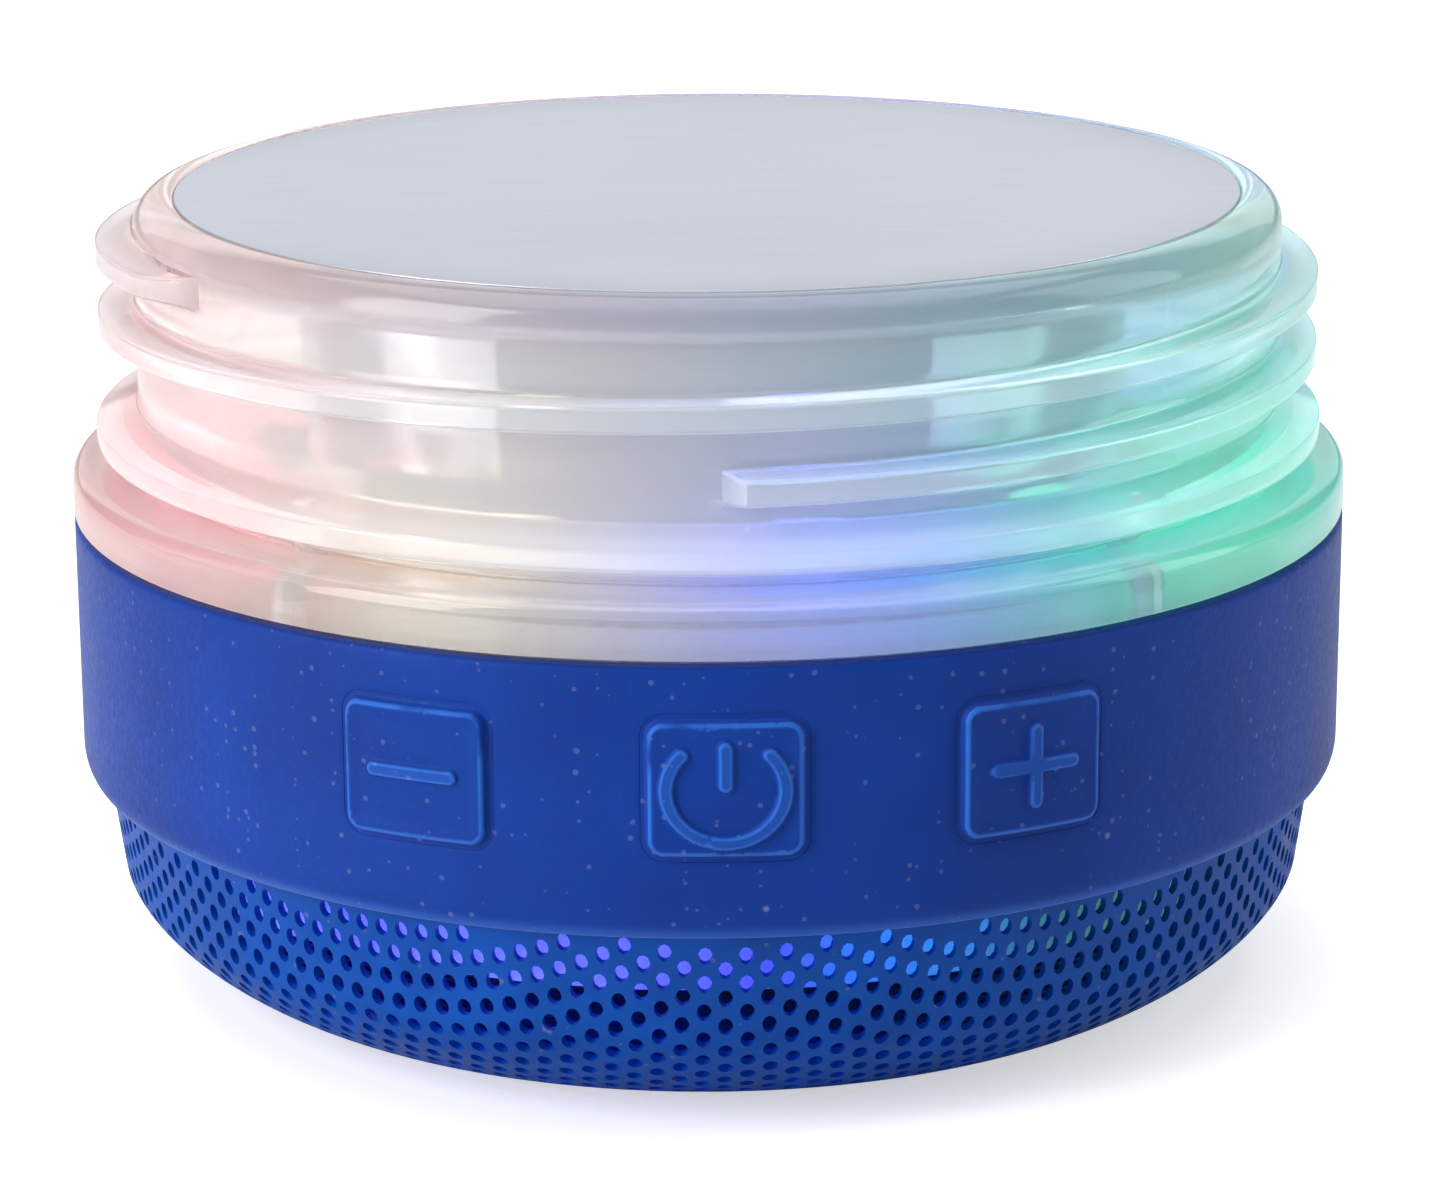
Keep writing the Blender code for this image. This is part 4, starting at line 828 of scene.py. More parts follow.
def wrap(across: np.ndarray, radius: np.ndarray, height: np.ndarray, azimuth: float,
         measured_at: float) -> np.ndarray:
    """Wraps flat places round the axis.

    Args:
        across: distance round the axis, in millimetres.
        radius: distance from the axis.
        height: height of each point.
        azimuth: azimuth where across is 0.
        measured_at: the radius at which across is measured.

    Returns:
        An array of points in millimetres, one row each.
    """
    turn = np.radians(azimuth) + across / measured_at
    return np.stack([radius * np.sin(turn), -radius * np.cos(turn), height], axis=-1)


def arc_points(centre: Sequence[float], radius: float, start: float, end: float, steps: int) -> list:
    """Gives points along an arc.

    Args:
        centre: its centre.
        radius: its radius.
        start: first angle in degrees.
        end: last angle in degrees.
        steps: how many stretches it has.

    Returns:
        A list of (x, y) pairs.
    """
    angles = np.radians(np.linspace(start, end, steps + 1))
    return [(centre[0] + radius * math.cos(angle), centre[1] + radius * math.sin(angle)) for angle in angles]


class MeshDraft:
    """Gathers points and faces in millimetres and makes one mesh object of them."""

    def __init__(self, name: str) -> None:
        """Starts empty.

        Args:
            name: the name of the piece.
        """
        self.name = name
        self.points: list[np.ndarray] = []
        self.faces: list[tuple[int, ...]] = []
        self.count = 0

    def add_points(self, points: Iterable) -> int:
        """Adds points.

        Args:
            points: rows of three coordinates.

        Returns:
            The index of the first one.
        """
        block = np.asarray([tuple(point) for point in points] if not isinstance(points, np.ndarray)
                           else points, float).reshape(-1, 3)
        first = self.count
        self.points.append(block)
        self.count += len(block)
        return first

    def add_grid(self, grid: np.ndarray, close_rows: bool = False, close_columns: bool = False) -> None:
        """Adds a sheet of quads over a grid of points.

        Args:
            grid: array of rows by columns by three.
            close_rows: whether the last row joins the first.
            close_columns: whether the last column joins the first.
        """
        rows, columns = grid.shape[:2]
        first = self.add_points(grid.reshape(-1, 3))
        for row in range(rows if close_rows else rows - 1):
            below = (row + 1) % rows
            for column in range(columns if close_columns else columns - 1):
                beside = (column + 1) % columns
                self.faces.append((first + row * columns + column, first + row * columns + beside,
                                   first + below * columns + beside, first + below * columns + column))

    def make(self, weld: float = 0.002, smooth: float = 40.0) -> bpy.types.Object:
        """Makes the object.

        Args:
            weld: points nearer than this, in millimetres, become one.
            smooth: the angle in degrees over which an edge is sharp.

        Returns:
            The mesh object.
        """
        mesh = bpy.data.meshes.new(self.name)
        mesh.from_pydata((np.concatenate(self.points) * MM).tolist(), [], self.faces)
        work = bmesh.new()
        work.from_mesh(mesh)
        bmesh.ops.remove_doubles(work, verts=work.verts, dist=weld * MM)
        bmesh.ops.dissolve_degenerate(work, edges=work.edges, dist=weld * MM * 0.1)
        bmesh.ops.recalc_face_normals(work, faces=work.faces)
        work.to_mesh(mesh)
        work.free()
        mesh.shade_smooth()
        mesh.set_sharp_from_angle(angle=math.radians(smooth))
        made = bpy.data.objects.new(self.name, mesh)
        bpy.context.scene.collection.objects.link(made)
        return made


def revolve(draft: MeshDraft, outline: Sequence[Sequence[float]], azimuths: np.ndarray,
            closed: bool = False) -> None:
    """Adds a surface of revolution.

    Args:
        draft: where it goes.
        outline: (radius, height) pairs.
        azimuths: degrees of the columns, over one turn without its end.
        closed: whether the outline's last point joins its first.
    """
    turns = np.radians(azimuths)
    radius = np.array([point[0] for point in outline])[:, None]
    height = np.array([point[1] for point in outline])[:, None] + 0 * turns
    grid = np.stack([radius * np.sin(turns), -radius * np.cos(turns), height], axis=-1)
    draft.add_grid(grid, close_rows=closed, close_columns=True)


def rounded_box_distance(x: np.ndarray, y: np.ndarray, half_x: float, half_y: float,
                         corner: float) -> np.ndarray:
    """Signed distance to a rectangle with round corners.

    Args:
        x: across coordinates.
        y: up coordinates.
        half_x: half its width.
        half_y: half its height.
        corner: its corner radius.

    Returns:
        Distances, negative inside.
    """
    beyond_x = np.abs(x) - half_x + corner
    beyond_y = np.abs(y) - half_y + corner
    outside = np.hypot(np.maximum(beyond_x, 0), np.maximum(beyond_y, 0))
    return outside + np.minimum(np.maximum(beyond_x, beyond_y), 0) - corner


def bar_distance(x: np.ndarray, y: np.ndarray, start: Sequence[float], end: Sequence[float]) -> np.ndarray:
    """Distance to a straight stroke's middle line.

    Args:
        x: across coordinates.
        y: up coordinates.
        start: its first end.
        end: its last end.

    Returns:
        The distances.
    """
    along = np.array(end, float) - np.array(start, float)
    share = ((x - start[0]) * along[0] + (y - start[1]) * along[1]) / float(along @ along)
    share = np.clip(share, 0, 1)
    return np.hypot(x - start[0] - share * along[0], y - start[1] - share * along[1])


def smooth_step(value: np.ndarray, low: float, high: float) -> np.ndarray:
    """Goes smoothly from 0 at low to 1 at high.

    Args:
        value: the values.
        low: where it is 0.
        high: where it is 1.

    Returns:
        The smoothed shares.
    """
    share = np.clip((value - low) / (high - low), 0, 1)
    return share * share * (3 - 2 * share)


def dress(piece: bpy.types.Object, finish: Finish, body: str,
          stands_for: Sequence[str] = ()) -> None:
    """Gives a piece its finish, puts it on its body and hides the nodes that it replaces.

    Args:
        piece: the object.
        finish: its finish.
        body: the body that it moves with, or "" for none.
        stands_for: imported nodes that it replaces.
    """
    piece.data.materials.clear()
    piece.data.materials.append(finish.make())
    if body:
        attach(piece, body)
    if stands_for:
        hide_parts(*stands_for)
    LOG.info("%s: %d faces, finish %s", piece.name, len(piece.data.polygons), finish.name)


# ---------------------------------------------------------------------------------------------------
# Finishes of this object

LAMPS = LampRing()
FROSTED_NECK = FrostedPlastic("frosted_neck", (0.94, 0.955, 0.96), 0.11)
CLEAR_CRADLE = FrostedPlastic("clear_cradle", (0.93, 0.95, 0.955), 0.12, clearness=0.3, glow=0.03)
LIT_CHASSIS = LitSkirt("lit_chassis", (0.55, 0.6, 0.66), 0.5)
SILVER_DISC = SatinDisc("silver_disc", (0.60, 0.63, 0.71), 0.36, 0.75)
BLUE_SILICONE = MattSilicone("blue_silicone", (0.001, 0.038, 0.285), 0.55)
BLUE_GRILLE = PaintedSheet("blue_grille", (0.001, 0.066, 0.36), 0.38, 0.0)
FOIL = CellFoil("cell_foil", (0.86, 0.86, 0.86), 0.26, 1.0)
BOARD = CircuitBoard("circuit_board", (0.008, 0.13, 0.055), 0.42)
STEEL = PlatedMetal("zinc_steel", (0.62, 0.62, 0.60), 0.34, 1.0)
SCREW_STEEL = PlatedMetal("screw_steel", (0.78, 0.78, 0.76), 0.4, 0.6, spangle=900.0)
CAN_STEEL = PlatedMetal("tinned_can", (0.70, 0.70, 0.68), 0.26, 1.0, spangle=500.0)
FERRITE = PlatedMetal("ferrite", (0.06, 0.06, 0.065), 0.55, 0.35, spangle=1200.0)
WHITE_KEY = Finish("white_key", (0.80, 0.80, 0.78), 0.45)
CREAM_CONNECTOR = Finish("cream_connector", (0.82, 0.78, 0.68), 0.5)
BLACK_PLASTIC = Finish("black_plastic", (0.02, 0.02, 0.022), 0.42)
CHIP_EPOXY = Finish("chip_epoxy", (0.028, 0.028, 0.03), 0.6)
BLACK_FOAM = FibrePulp("black_foam", (0.025, 0.025, 0.027), 0.95, fibre_scale=1100.0, depth=0.9)
BLACK_RUBBER = Finish("black_rubber", (0.014, 0.014, 0.016), 0.6)
PAPER_CONE = FibrePulp("paper_cone", (0.035, 0.035, 0.04), 0.8, fibre_scale=1700.0, depth=0.5)
SPIDER_CLOTH = FibrePulp("spider_cloth", (0.62, 0.43, 0.18), 0.85, fibre_scale=2400.0, depth=0.8)
COPPER = WoundCopper("copper", (0.72, 0.33, 0.15), 0.32, 1.0)
RED_WIRE = Finish("red_wire", (0.55, 0.015, 0.015), 0.4)
BLACK_WIRE = Finish("black_wire", (0.02, 0.02, 0.02), 0.4)


# ---------------------------------------------------------------------------------------------------
# Neck


@dataclass
class ThreadedNeck:
    """Frosted neck with its roof, thread, bead, collar and silver disc."""

    joint: float = 26.0
    band_radius: float = 35.0
    collar_top: float = 28.8
    collar_round: float = 0.9
    neck_radius: float = 31.3
    neck_inner: float = 29.5
    roof: float = 43.1
    roof_round: float = 1.6
    roof_wall: float = 1.1
    disc_radius: float = 29.0
    disc_seat: float = 0.42
    bead_radius: float = 33.6
    bead_bottom: float = 29.9
    bead_land: float = 1.25
    bead_slope: float = 0.95
    flange_inner: float = 26.9
    ledge_inner: float = 25.9
    ledge_bottom: float = 27.2
    ledge_top: float = 28.2
    thread_radius: float = 33.3
    thread_pitch: float = 3.75
    thread_turns: float = 1.84
    thread_start: float = 33.85
    thread_land: float = 1.15
    thread_upper: float = 0.22
    thread_lower: float = 0.45
    start_ramp: float = 2.0
    end_ramp: float = 7.0
    end_blunt: float = 0.45
    crest_drop: float = 0.14
    columns: int = 240
    boss_ring: float = 28.6
    boss_radius: float = 2.35
    boss_bore: float = 1.32
    boss_top: float = 31.5
    zone: tuple[float, float] = field(default=(32.3, 41.5))

    def azimuths(self) -> np.ndarray:
        """Returns the columns' azimuths, closer together where the thread starts and ends."""
        end = FULL_TURN * self.thread_turns % FULL_TURN
        extra = [0.0, 0.05, self.start_ramp * 0.5, self.start_ramp, end - self.end_ramp,
                 end - self.end_ramp * 0.6, end - self.end_ramp * 0.3, end]
        even = np.arange(self.columns) * FULL_TURN / self.columns
        kept = [turn for turn in even if min(abs(turn - other) for other in extra) > 0.3]
        return np.array(sorted(kept + extra))

    def ridge_offsets(self) -> list[float]:
        """Returns heights across one pitch, from the ridge's middle, that follow the ridge's edges."""
        half = self.thread_land / 2
        low, high = -half - self.thread_lower, half + self.thread_upper
        lower = [low - 0.18, low - 0.07, low, low * 0.72 - half * 0.28, -half - 0.1, -half, -half + 0.09,
                 -half + 0.22]
        upper = [half - 0.2, half - 0.08, half, half + 0.09, high * 0.6 + half * 0.4, high, high + 0.07,
                 high + 0.18]
        gap_low, gap_high = upper[-1], self.thread_pitch + lower[0]
        between = list(np.linspace(gap_low, gap_high, 5)[1:-1])
        return lower + [0.0] + upper + between

    def ridge_height(self, azimuth: np.ndarray, height: np.ndarray) -> np.ndarray:
        """Gives how far the thread stands out of the neck.

        Args:
            azimuth: degrees of each point.
            height: height of each point.

        Returns:
            Millimetres above the neck's surface.
        """
        tall = self.thread_radius - self.neck_radius
        half = self.thread_land / 2
        total = np.zeros(np.broadcast(azimuth, height).shape)
        span = FULL_TURN * self.thread_turns
        for lap in range(math.ceil(self.thread_turns)):
            turn = azimuth + FULL_TURN * lap
            offset = height - self.thread_start - self.thread_pitch * turn / FULL_TURN
            flank = np.where(offset > 0, self.thread_upper, self.thread_lower)
            section = 1 - smooth_step(np.abs(offset), half - 0.08, half + 0.14) * self.crest_drop
            section = np.minimum(section, np.clip(1 - (np.abs(offset) - half - 0.08) / flank, 0, 1))
            ends = np.clip((span - turn) / self.end_ramp, 0, 1) ** self.end_blunt
            ends = np.clip(turn / self.start_ramp, 0, 1) * ends
            ends = np.where((turn < 0) | (turn > span), 0, ends)
            total = np.maximum(total, tall * section * ends)
        return total

    def add_thread_zone(self, draft: MeshDraft, azimuths: np.ndarray) -> None:
        """Adds the threaded stretch, with rows that climb along the thread.

        Args:
            draft: the neck's mesh.
            azimuths: the columns' azimuths.
        """
        low, high = self.zone
        pitch = self.thread_pitch
        offsets = self.ridge_offsets()
        phase = (self.thread_start - low) % pitch
        laps = math.ceil((high - low) / pitch) + 3
        rises = sorted(phase + pitch * lap + offset for lap in range(-1, laps) for offset in offsets)
        rises = [rise for rise in rises if rise >= 0]
        per_pitch = len(offsets)
        rows = np.array([-1e3] + rises + [1e3])
        height = low - pitch + pitch * azimuths[:, None] / FULL_TURN + rows[None, :]
        height = np.clip(height, low, high)
        radius = self.neck_radius + self.ridge_height(azimuths[:, None] + 0 * height, height)
        turn = np.radians(azimuths)[:, None]
        grid = np.stack([radius * np.sin(turn), -radius * np.cos(turn), height], axis=-1)
        first = draft.count
        draft.add_grid(grid)
        columns, count = grid.shape[:2]
        last = first + (columns - 1) * count
        for row in range(count - 1):
            after, above = min(row + per_pitch, count - 1), min(row + 1 + per_pitch, count - 1)
            draft.faces.append((last + row, last + row + 1, first + above, first + after))

    def shell(self) -> bpy.types.Object:
        """Returns the neck as one closed shell."""
        draft = MeshDraft("frosted_neck")
        azimuths = self.azimuths()
        low, high = self.zone
        seat = self.roof - self.disc_seat
        rim = self.disc_radius + 0.06
        centre = (self.neck_radius - self.roof_round, self.roof - self.roof_round)
        lip = 0.12
        over = [(self.neck_radius, high), *arc_points(centre, self.roof_round, 0, 90, 12)]
        over += [(rim + lip, self.roof), (rim, self.roof - lip), (rim, seat), (0.0, seat)]
        revolve(draft, over, azimuths)
        under = self.roof - self.disc_seat - 0.28 - self.roof_wall
        inner = [(0.0, under)]
        inner += arc_points((self.neck_inner - 1.0, under - 1.0), 1.0, 90, 0, 5)
        inner += [(self.neck_inner, self.ledge_top + 0.3), (self.neck_inner - 0.3, self.ledge_top)]
        inner += [(self.ledge_inner, self.ledge_top), (self.ledge_inner, self.ledge_bottom)]
        inner += [(self.flange_inner, self.ledge_bottom), (self.flange_inner, self.joint)]
        inner += arc_points((self.band_radius - 0.15, self.joint + 0.15), 0.15, 270, 360, 3)
        top = self.collar_top
        turn = self.collar_round
        inner += arc_points((self.band_radius - turn, top - turn), turn, 0, 90, 8)
        inner += arc_points((self.neck_radius + 0.3, top + 0.3), 0.3, 270, 180, 3)
        bead, start = self.bead_radius, self.bead_bottom
        inner += arc_points((self.neck_radius + 0.2, start - 0.2), 0.2, 180, 90, 3)
        inner += arc_points((bead - 0.2, start + 0.2), 0.2, 270, 360, 3)
        inner += arc_points((bead - 0.22, start + self.bead_land - 0.22), 0.22, 0, 60, 3)
        slope_top = start + self.bead_land + self.bead_slope
        inner += arc_points((self.neck_radius + 0.35, slope_top + 0.1), 0.35, 235, 180, 4)
        inner += [(self.neck_radius, low)]
        revolve(draft, inner, azimuths)
        self.add_thread_zone(draft, azimuths)
        return draft.make(smooth=50.0)

    def boss(self, index: int) -> bpy.types.Object:
        """Returns one of the four screw bosses inside the neck.

        Args:
            index: its place, from 0.
        """
        azimuth = 45.0 + 90.0 * index
        centre = polar(self.boss_ring, azimuth, 0)
        draft = MeshDraft(f"neck_boss_{index + 1}")
        turns = np.radians(np.arange(40) * 9.0)
        rows = []
        outline = [(self.boss_radius, self.ledge_top + 0.02), (self.boss_radius, self.boss_top - 0.2),
                   (self.boss_radius - 0.2, self.boss_top), (self.boss_bore + 0.15, self.boss_top),
                   (self.boss_bore, self.boss_top - 0.15), (self.boss_bore, self.ledge_top + 0.02)]
        for radius, height in outline:
            ring = np.stack([centre.x + radius * np.cos(turns), centre.y + radius * np.sin(turns),
                             0 * turns + height], axis=-1)
            reach = np.hypot(ring[:, 0], ring[:, 1])
            ring[:, :2] *= np.minimum(1, (self.neck_inner - 0.03) / reach)[:, None]
            rows.append(ring)
        draft.add_grid(np.array(rows), close_rows=True, close_columns=True)
        return draft.make()

    def disc(self) -> bpy.types.Object:
        """Returns the silver disc."""
        draft = MeshDraft("silver_disc")
        azimuths = np.arange(self.columns) * FULL_TURN / self.columns
        seat = self.roof - self.disc_seat + 0.02
        edge = 0.1
        rim = self.disc_radius
        outline = [(0.0, self.roof), (rim - 4.0, self.roof), (rim - edge, self.roof)]
        outline += [(rim - edge * 0.3, self.roof - edge * 0.3), (rim, self.roof - edge)]
        outline += [(rim, seat), (0.0, seat)]
        revolve(draft, outline, azimuths)
        return draft.make(smooth=30.0)

    def build(self) -> None:
        """Builds and dresses the neck."""
        dress(self.shell(), FROSTED_NECK, "housing", ["neck_shell"])
        for index in range(4):
            dress(self.boss(index), CLEAR_CRADLE, "housing")
        dress(self.disc(), SILVER_DISC, "housing", ["roof_disc"])


# ---------------------------------------------------------------------------------------------------
# Battery


@dataclass
class BatteryPack:
    """Foil cell in its clear cradle."""

    width: float = 39.6
    depth: float = 32.4
    corner: float = 8.5
    bottom: float = 28.7
    top: float = 39.7
    cradle_wall: float = 1.0
    cradle_depth: float = 28.0
    cradle_top: float = 41.0
    cradle_round: float = 2.0
    gap: float = 0.3
    edge: float = 0.9
    crease: float = 0.18

    def plan(self, inset: float) -> np.ndarray:
        """Gives the cell's outline from above.

        Args:
            inset: how far it is drawn in.

        Returns:
            Points of (x, y), anticlockwise.
        """
        half_x, half_y = self.width / 2 - inset, self.depth / 2 - inset
        corner = self.corner - inset
        points = []
        for sign_x, sign_y, start in ((1, -1, 270), (1, 1, 0), (-1, 1, 90), (-1, -1, 180)):
            centre = (sign_x * (half_x - corner), sign_y * (half_y - corner))
            points += arc_points(centre, corner, start, start + 90, 14)
        return np.array(points)

    def cell(self) -> bpy.types.Object:
        """Returns the cell with rounded edges."""
        draft = MeshDraft("foil_cell")
        rows = []
        for step in range(7):
            turn = math.pi / 2 * step / 6
            rows.append((self.edge * (1 - math.sin(turn)), self.bottom + self.edge * (1 - math.cos(turn))))
        rows += [(self.crease, (self.bottom + self.top) / 2)]
        rows += [(inset, self.top + self.bottom - height) for inset, height in reversed(rows[:7])]
        rings = []
        for inset, height in rows:
            outline = self.plan(inset)
            rings.append(np.column_stack([outline, np.full(len(outline), height)]))
        draft.add_grid(np.array(rings), close_columns=True)
        count = len(rings[0])
        draft.faces.append(tuple(reversed(range(count))))
        draft.faces.append(tuple(range(count * (len(rings) - 1), count * len(rings))))
        return draft.make()

    def cradle(self) -> bpy.types.Object:
        """Returns the cradle: an arch of clear plastic over the cell."""
        draft = MeshDraft("clear_cradle")
        inner = self.width / 2 + self.gap
        outer = inner + self.cradle_wall
        turn = self.cradle_round
        under = self.top + self.gap
        section = [(-outer, self.bottom)]
        section += arc_points((-outer + turn, self.cradle_top - turn), turn, 180, 90, 8)
        section += arc_points((outer - turn, self.cradle_top - turn), turn, 90, 0, 8)
        section += [(outer, self.bottom), (inner, self.bottom)]
        section += arc_points((inner - turn / 2, under - turn / 2), turn / 2, 0, 90, 5)
        section += arc_points((-inner + turn / 2, under - turn / 2), turn / 2, 90, 180, 5)
        section += [(-inner, self.bottom)]
        half = self.cradle_depth / 2
        rows = [[(x, y, z) for x, z in section] for y in (-half, half)]
        draft.add_grid(np.array(rows), close_columns=True)
        count = len(section)
        draft.faces.append(tuple(range(count)))
        draft.faces.append(tuple(reversed(range(count, 2 * count))))
        made = draft.make(smooth=30.0)
        soften(made, 0.18)
        return made

    def build(self) -> None:
        """Builds and dresses the cell and its cradle."""
        dress(self.cell(), FOIL, "housing", ["battery_cell"])
        dress(self.cradle(), CLEAR_CRADLE, "housing", ["battery_cradle"])


def soften(piece: bpy.types.Object, width: float, segments: int = 2) -> None:
    """Rounds a piece's sharp edges with a Bevel modifier.

    Args:
        piece: the object.
        width: the rounding's width in millimetres.
        segments: how many faces it has across.
    """
    bevel = piece.modifiers.new("soft_edges", "BEVEL")
    bevel.width = width * MM
    bevel.segments = segments
    bevel.limit_method = "ANGLE"
    bevel.angle_limit = math.radians(35)
    bevel.harden_normals = True


# ---------------------------------------------------------------------------------------------------
# Silicone band, keys and flap


class KeyKind(Enum):
    """The three keys: the symbol on each and its place, in steps round the band."""

    MINUS = -1
    POWER = 0
    PLUS = 1

    @property
    def label(self) -> str:
        """Returns the key's name."""
        return self.name.lower()


@dataclass
class SiliconeBand:
    """The silicone sleeve with windows for the keys and the flap."""

    radius: float = 35.0
    inner: float = 34.1
    bottom: float = 11.6
    top: float = 25.7
    lip_width: float = 0.75
    lip_height: float = 1.4
    top_round: float = 0.3
    key_spacing: float = 25.85
    key_height: float = 19.6
    key_width: float = 7.8
    key_tall: float = 7.0
    key_corner: float = 0.9
    key_proud: float = 0.45
    key_dish: float = 0.05
    pad_bevel: tuple[float, float] = (-0.2, 0.08)
    symbol_bevel: tuple[float, float] = (0.38, 0.56)
    icon_proud: float = 0.2
    gap: float = 0.3
    floor_depth: float = 0.02
    rim: float = 0.03
    icon_stroke: float = 0.74
    icon_wide: float = 4.9
    icon_tall: float = 4.4
    ring_radius: float = 2.9
    ring_squash: float = 1.08
    ring_opening: float = 48.0
    power_bar: tuple[float, float] = (0.29, 2.14)
    flap_height: float = 19.5
    flap_width: float = 13.0
    flap_tall: float = 7.0
    flap_corner: float = 1.2
    grip_proud: float = 0.63
    patch_low: float = 14.4
    patch_high: float = 24.8
    patch_margin: float = 1.6
    columns: int = 220

    def windows(self) -> list[tuple[float, float, float, float, float]]:
        """Returns each window's azimuth, height, half width, half height and corner radius."""
        gap = self.gap
        found = [(kind.value * self.key_spacing, self.key_height, self.key_width / 2 + gap,
                  self.key_tall / 2 + gap, self.key_corner + gap) for kind in KeyKind]
        found.append((180.0, self.flap_height, self.flap_width / 2 + gap, self.flap_tall / 2 + gap,
                      self.flap_corner + gap))
        return found

    def sleeve(self) -> bpy.types.Object:
        """Returns the sleeve as one closed mesh, with an opening at each window."""
        draft = MeshDraft("silicone_sleeve")
        rows = [(self.radius - self.lip_width * (1 - math.sin(turn)),
                 self.bottom + self.lip_height * (1 - math.cos(turn)))
                for turn in np.linspace(0, math.pi / 2, 9)]
        patch_rows = np.linspace(self.patch_low, self.patch_high, 27)
        rows += [(self.radius, 13.4), *((self.radius, height) for height in patch_rows)]
        turn = self.top_round
        rows += arc_points((self.radius - turn, self.top - turn), turn, 0, 90, 4)
        low_row = 10
        high_row = low_row + len(patch_rows) - 1
        across, spans = self.column_places()
        count = len(across)
        turns = across / self.radius
        grids = []
        for radius_of in (lambda point: point[0], lambda point: self.inner):
            radius = np.array([radius_of(point) for point in rows])[:, None]
            height = np.array([point[1] for point in rows])[:, None] + 0 * turns
            grid = np.stack([radius * np.sin(turns), -radius * np.cos(turns), height], axis=-1)
            grids.append(draft.add_points(grid.reshape(-1, 3)))
        covered = {(row, column % count) for first, last in spans for row in range(low_row, high_row)
                   for column in range(first, last)}
        for base in grids:
            for row in range(len(rows) - 1):
                for column in range(count):
                    if (row, column) in covered:
                        continue
                    beside = (column + 1) % count
                    draft.faces.append((base + row * count + column, base + row * count + beside,
                                        base + (row + 1) * count + beside, base + (row + 1) * count + column))
        for row in (0, len(rows) - 1):
            for column in range(count):
                beside = (column + 1) % count
                draft.faces.append(tuple(grids[side] + row * count + place
                                         for side, place in ((0, column), (0, beside), (1, beside),
                                                             (1, column))))
        for window, (first, last) in zip(self.windows(), spans):
            self.add_window(draft, window, across[[column % count for column in range(first, last + 1)]],
                            patch_rows)
        return draft.make(weld=0.01, smooth=45.0)

    def column_places(self) -> tuple[np.ndarray, list[tuple[int, int]]]:
        """Places the columns so that each window's patch starts and ends on one.

        Returns:
            The columns' distances round the band, and each window's first and last column.
        """
        full = math.tau * self.radius
        patches = []
        for azimuth, _, half, _, _ in self.windows():
            centre = math.radians(azimuth) * self.radius
            reach = half + self.patch_margin
            patches.append(centre + np.linspace(-reach, reach, 2 * round(reach / 0.42) + 1))
        ordered = sorted(range(len(patches)), key=lambda index: patches[index][0])
        places: list[float] = []
        spans: dict[int, tuple[int, int]] = {}
        for position, index in enumerate(ordered):
            patch = patches[index]
            spans[index] = (len(places), len(places) + len(patch) - 1)
            places += list(patch)
            following = patches[ordered[(position + 1) % len(ordered)]][0]
            if following <= patch[-1]:
                following += full
            steps = max(2, round((following - patch[-1]) / full * self.columns))
            places += list(np.linspace(patch[-1], following, steps + 1)[1:-1])
        return np.array(places), [spans[index] for index in range(len(patches))]

    def add_window(self, draft: MeshDraft, window: tuple, across: np.ndarray, heights: np.ndarray) -> None:
        """Fills the patch round one window, and adds the window's own wall.

        Args:
            draft: the sleeve's mesh.
            window: what windows gives for it.
            across: the patch's column places.
            heights: the patch's row heights.
        """
        middle, half_x, half_y, corner = window[1:]
        centre = (across[0] + across[-1]) / 2
        x = across - centre
        z = heights - middle
        border = [(place, z[0]) for place in x[:-1]] + [(x[-1], place) for place in z[:-1]]
        border += [(place, z[-1]) for place in x[:0:-1]] + [(x[0], place) for place in z[:0:-1]]
        border = np.array(border)
        outline = np.array([self.window_point(point, half_x, half_y, corner) for point in border])
        aside = outline / np.hypot(outline[:, 0], outline[:, 1])[:, None]
        rings = [(border, self.radius)]
        for share in (0.3, 0.55, 0.78):
            rings.append((border + (outline + aside * self.rim - border) * share, self.radius))
        for out, drop in ((1.0, 0.0), (0.45, 0.15), (0.15, 0.45), (0.0, 1.0)):
            rings.append((outline + aside * out * self.rim, self.radius - drop * self.rim))
        rings.append((outline, self.inner))
        for share in (0.5, 1.0):
            rings.append((outline + (border - outline) * share, self.inner))
        grid = []
        for flat, radius in rings:
            turn = (centre + flat[:, 0]) / self.radius
            points = [radius * np.sin(turn), -radius * np.cos(turn), flat[:, 1] + middle]
            grid.append(np.stack(points, axis=-1))
        draft.add_grid(np.array(grid), close_columns=True)

    @staticmethod
    def window_point(point: np.ndarray, half_x: float, half_y: float, corner: float) -> tuple[float, float]:
        """Finds where the line from a window's centre to a point crosses its outline.

        Args:
            point: the outer point.
            half_x: half the window's width.
            half_y: half its height.
            corner: its corner radius.

        Returns:
            The place on the outline.
        """
        low, high = 0.0, 1.0
        for _ in range(26):
            middle = (low + high) / 2
            inside = rounded_box_distance(point[0] * middle, point[1] * middle, half_x, half_y, corner) < 0
            low, high = (middle, high) if inside else (low, middle)
        return point[0] * low, point[1] * low

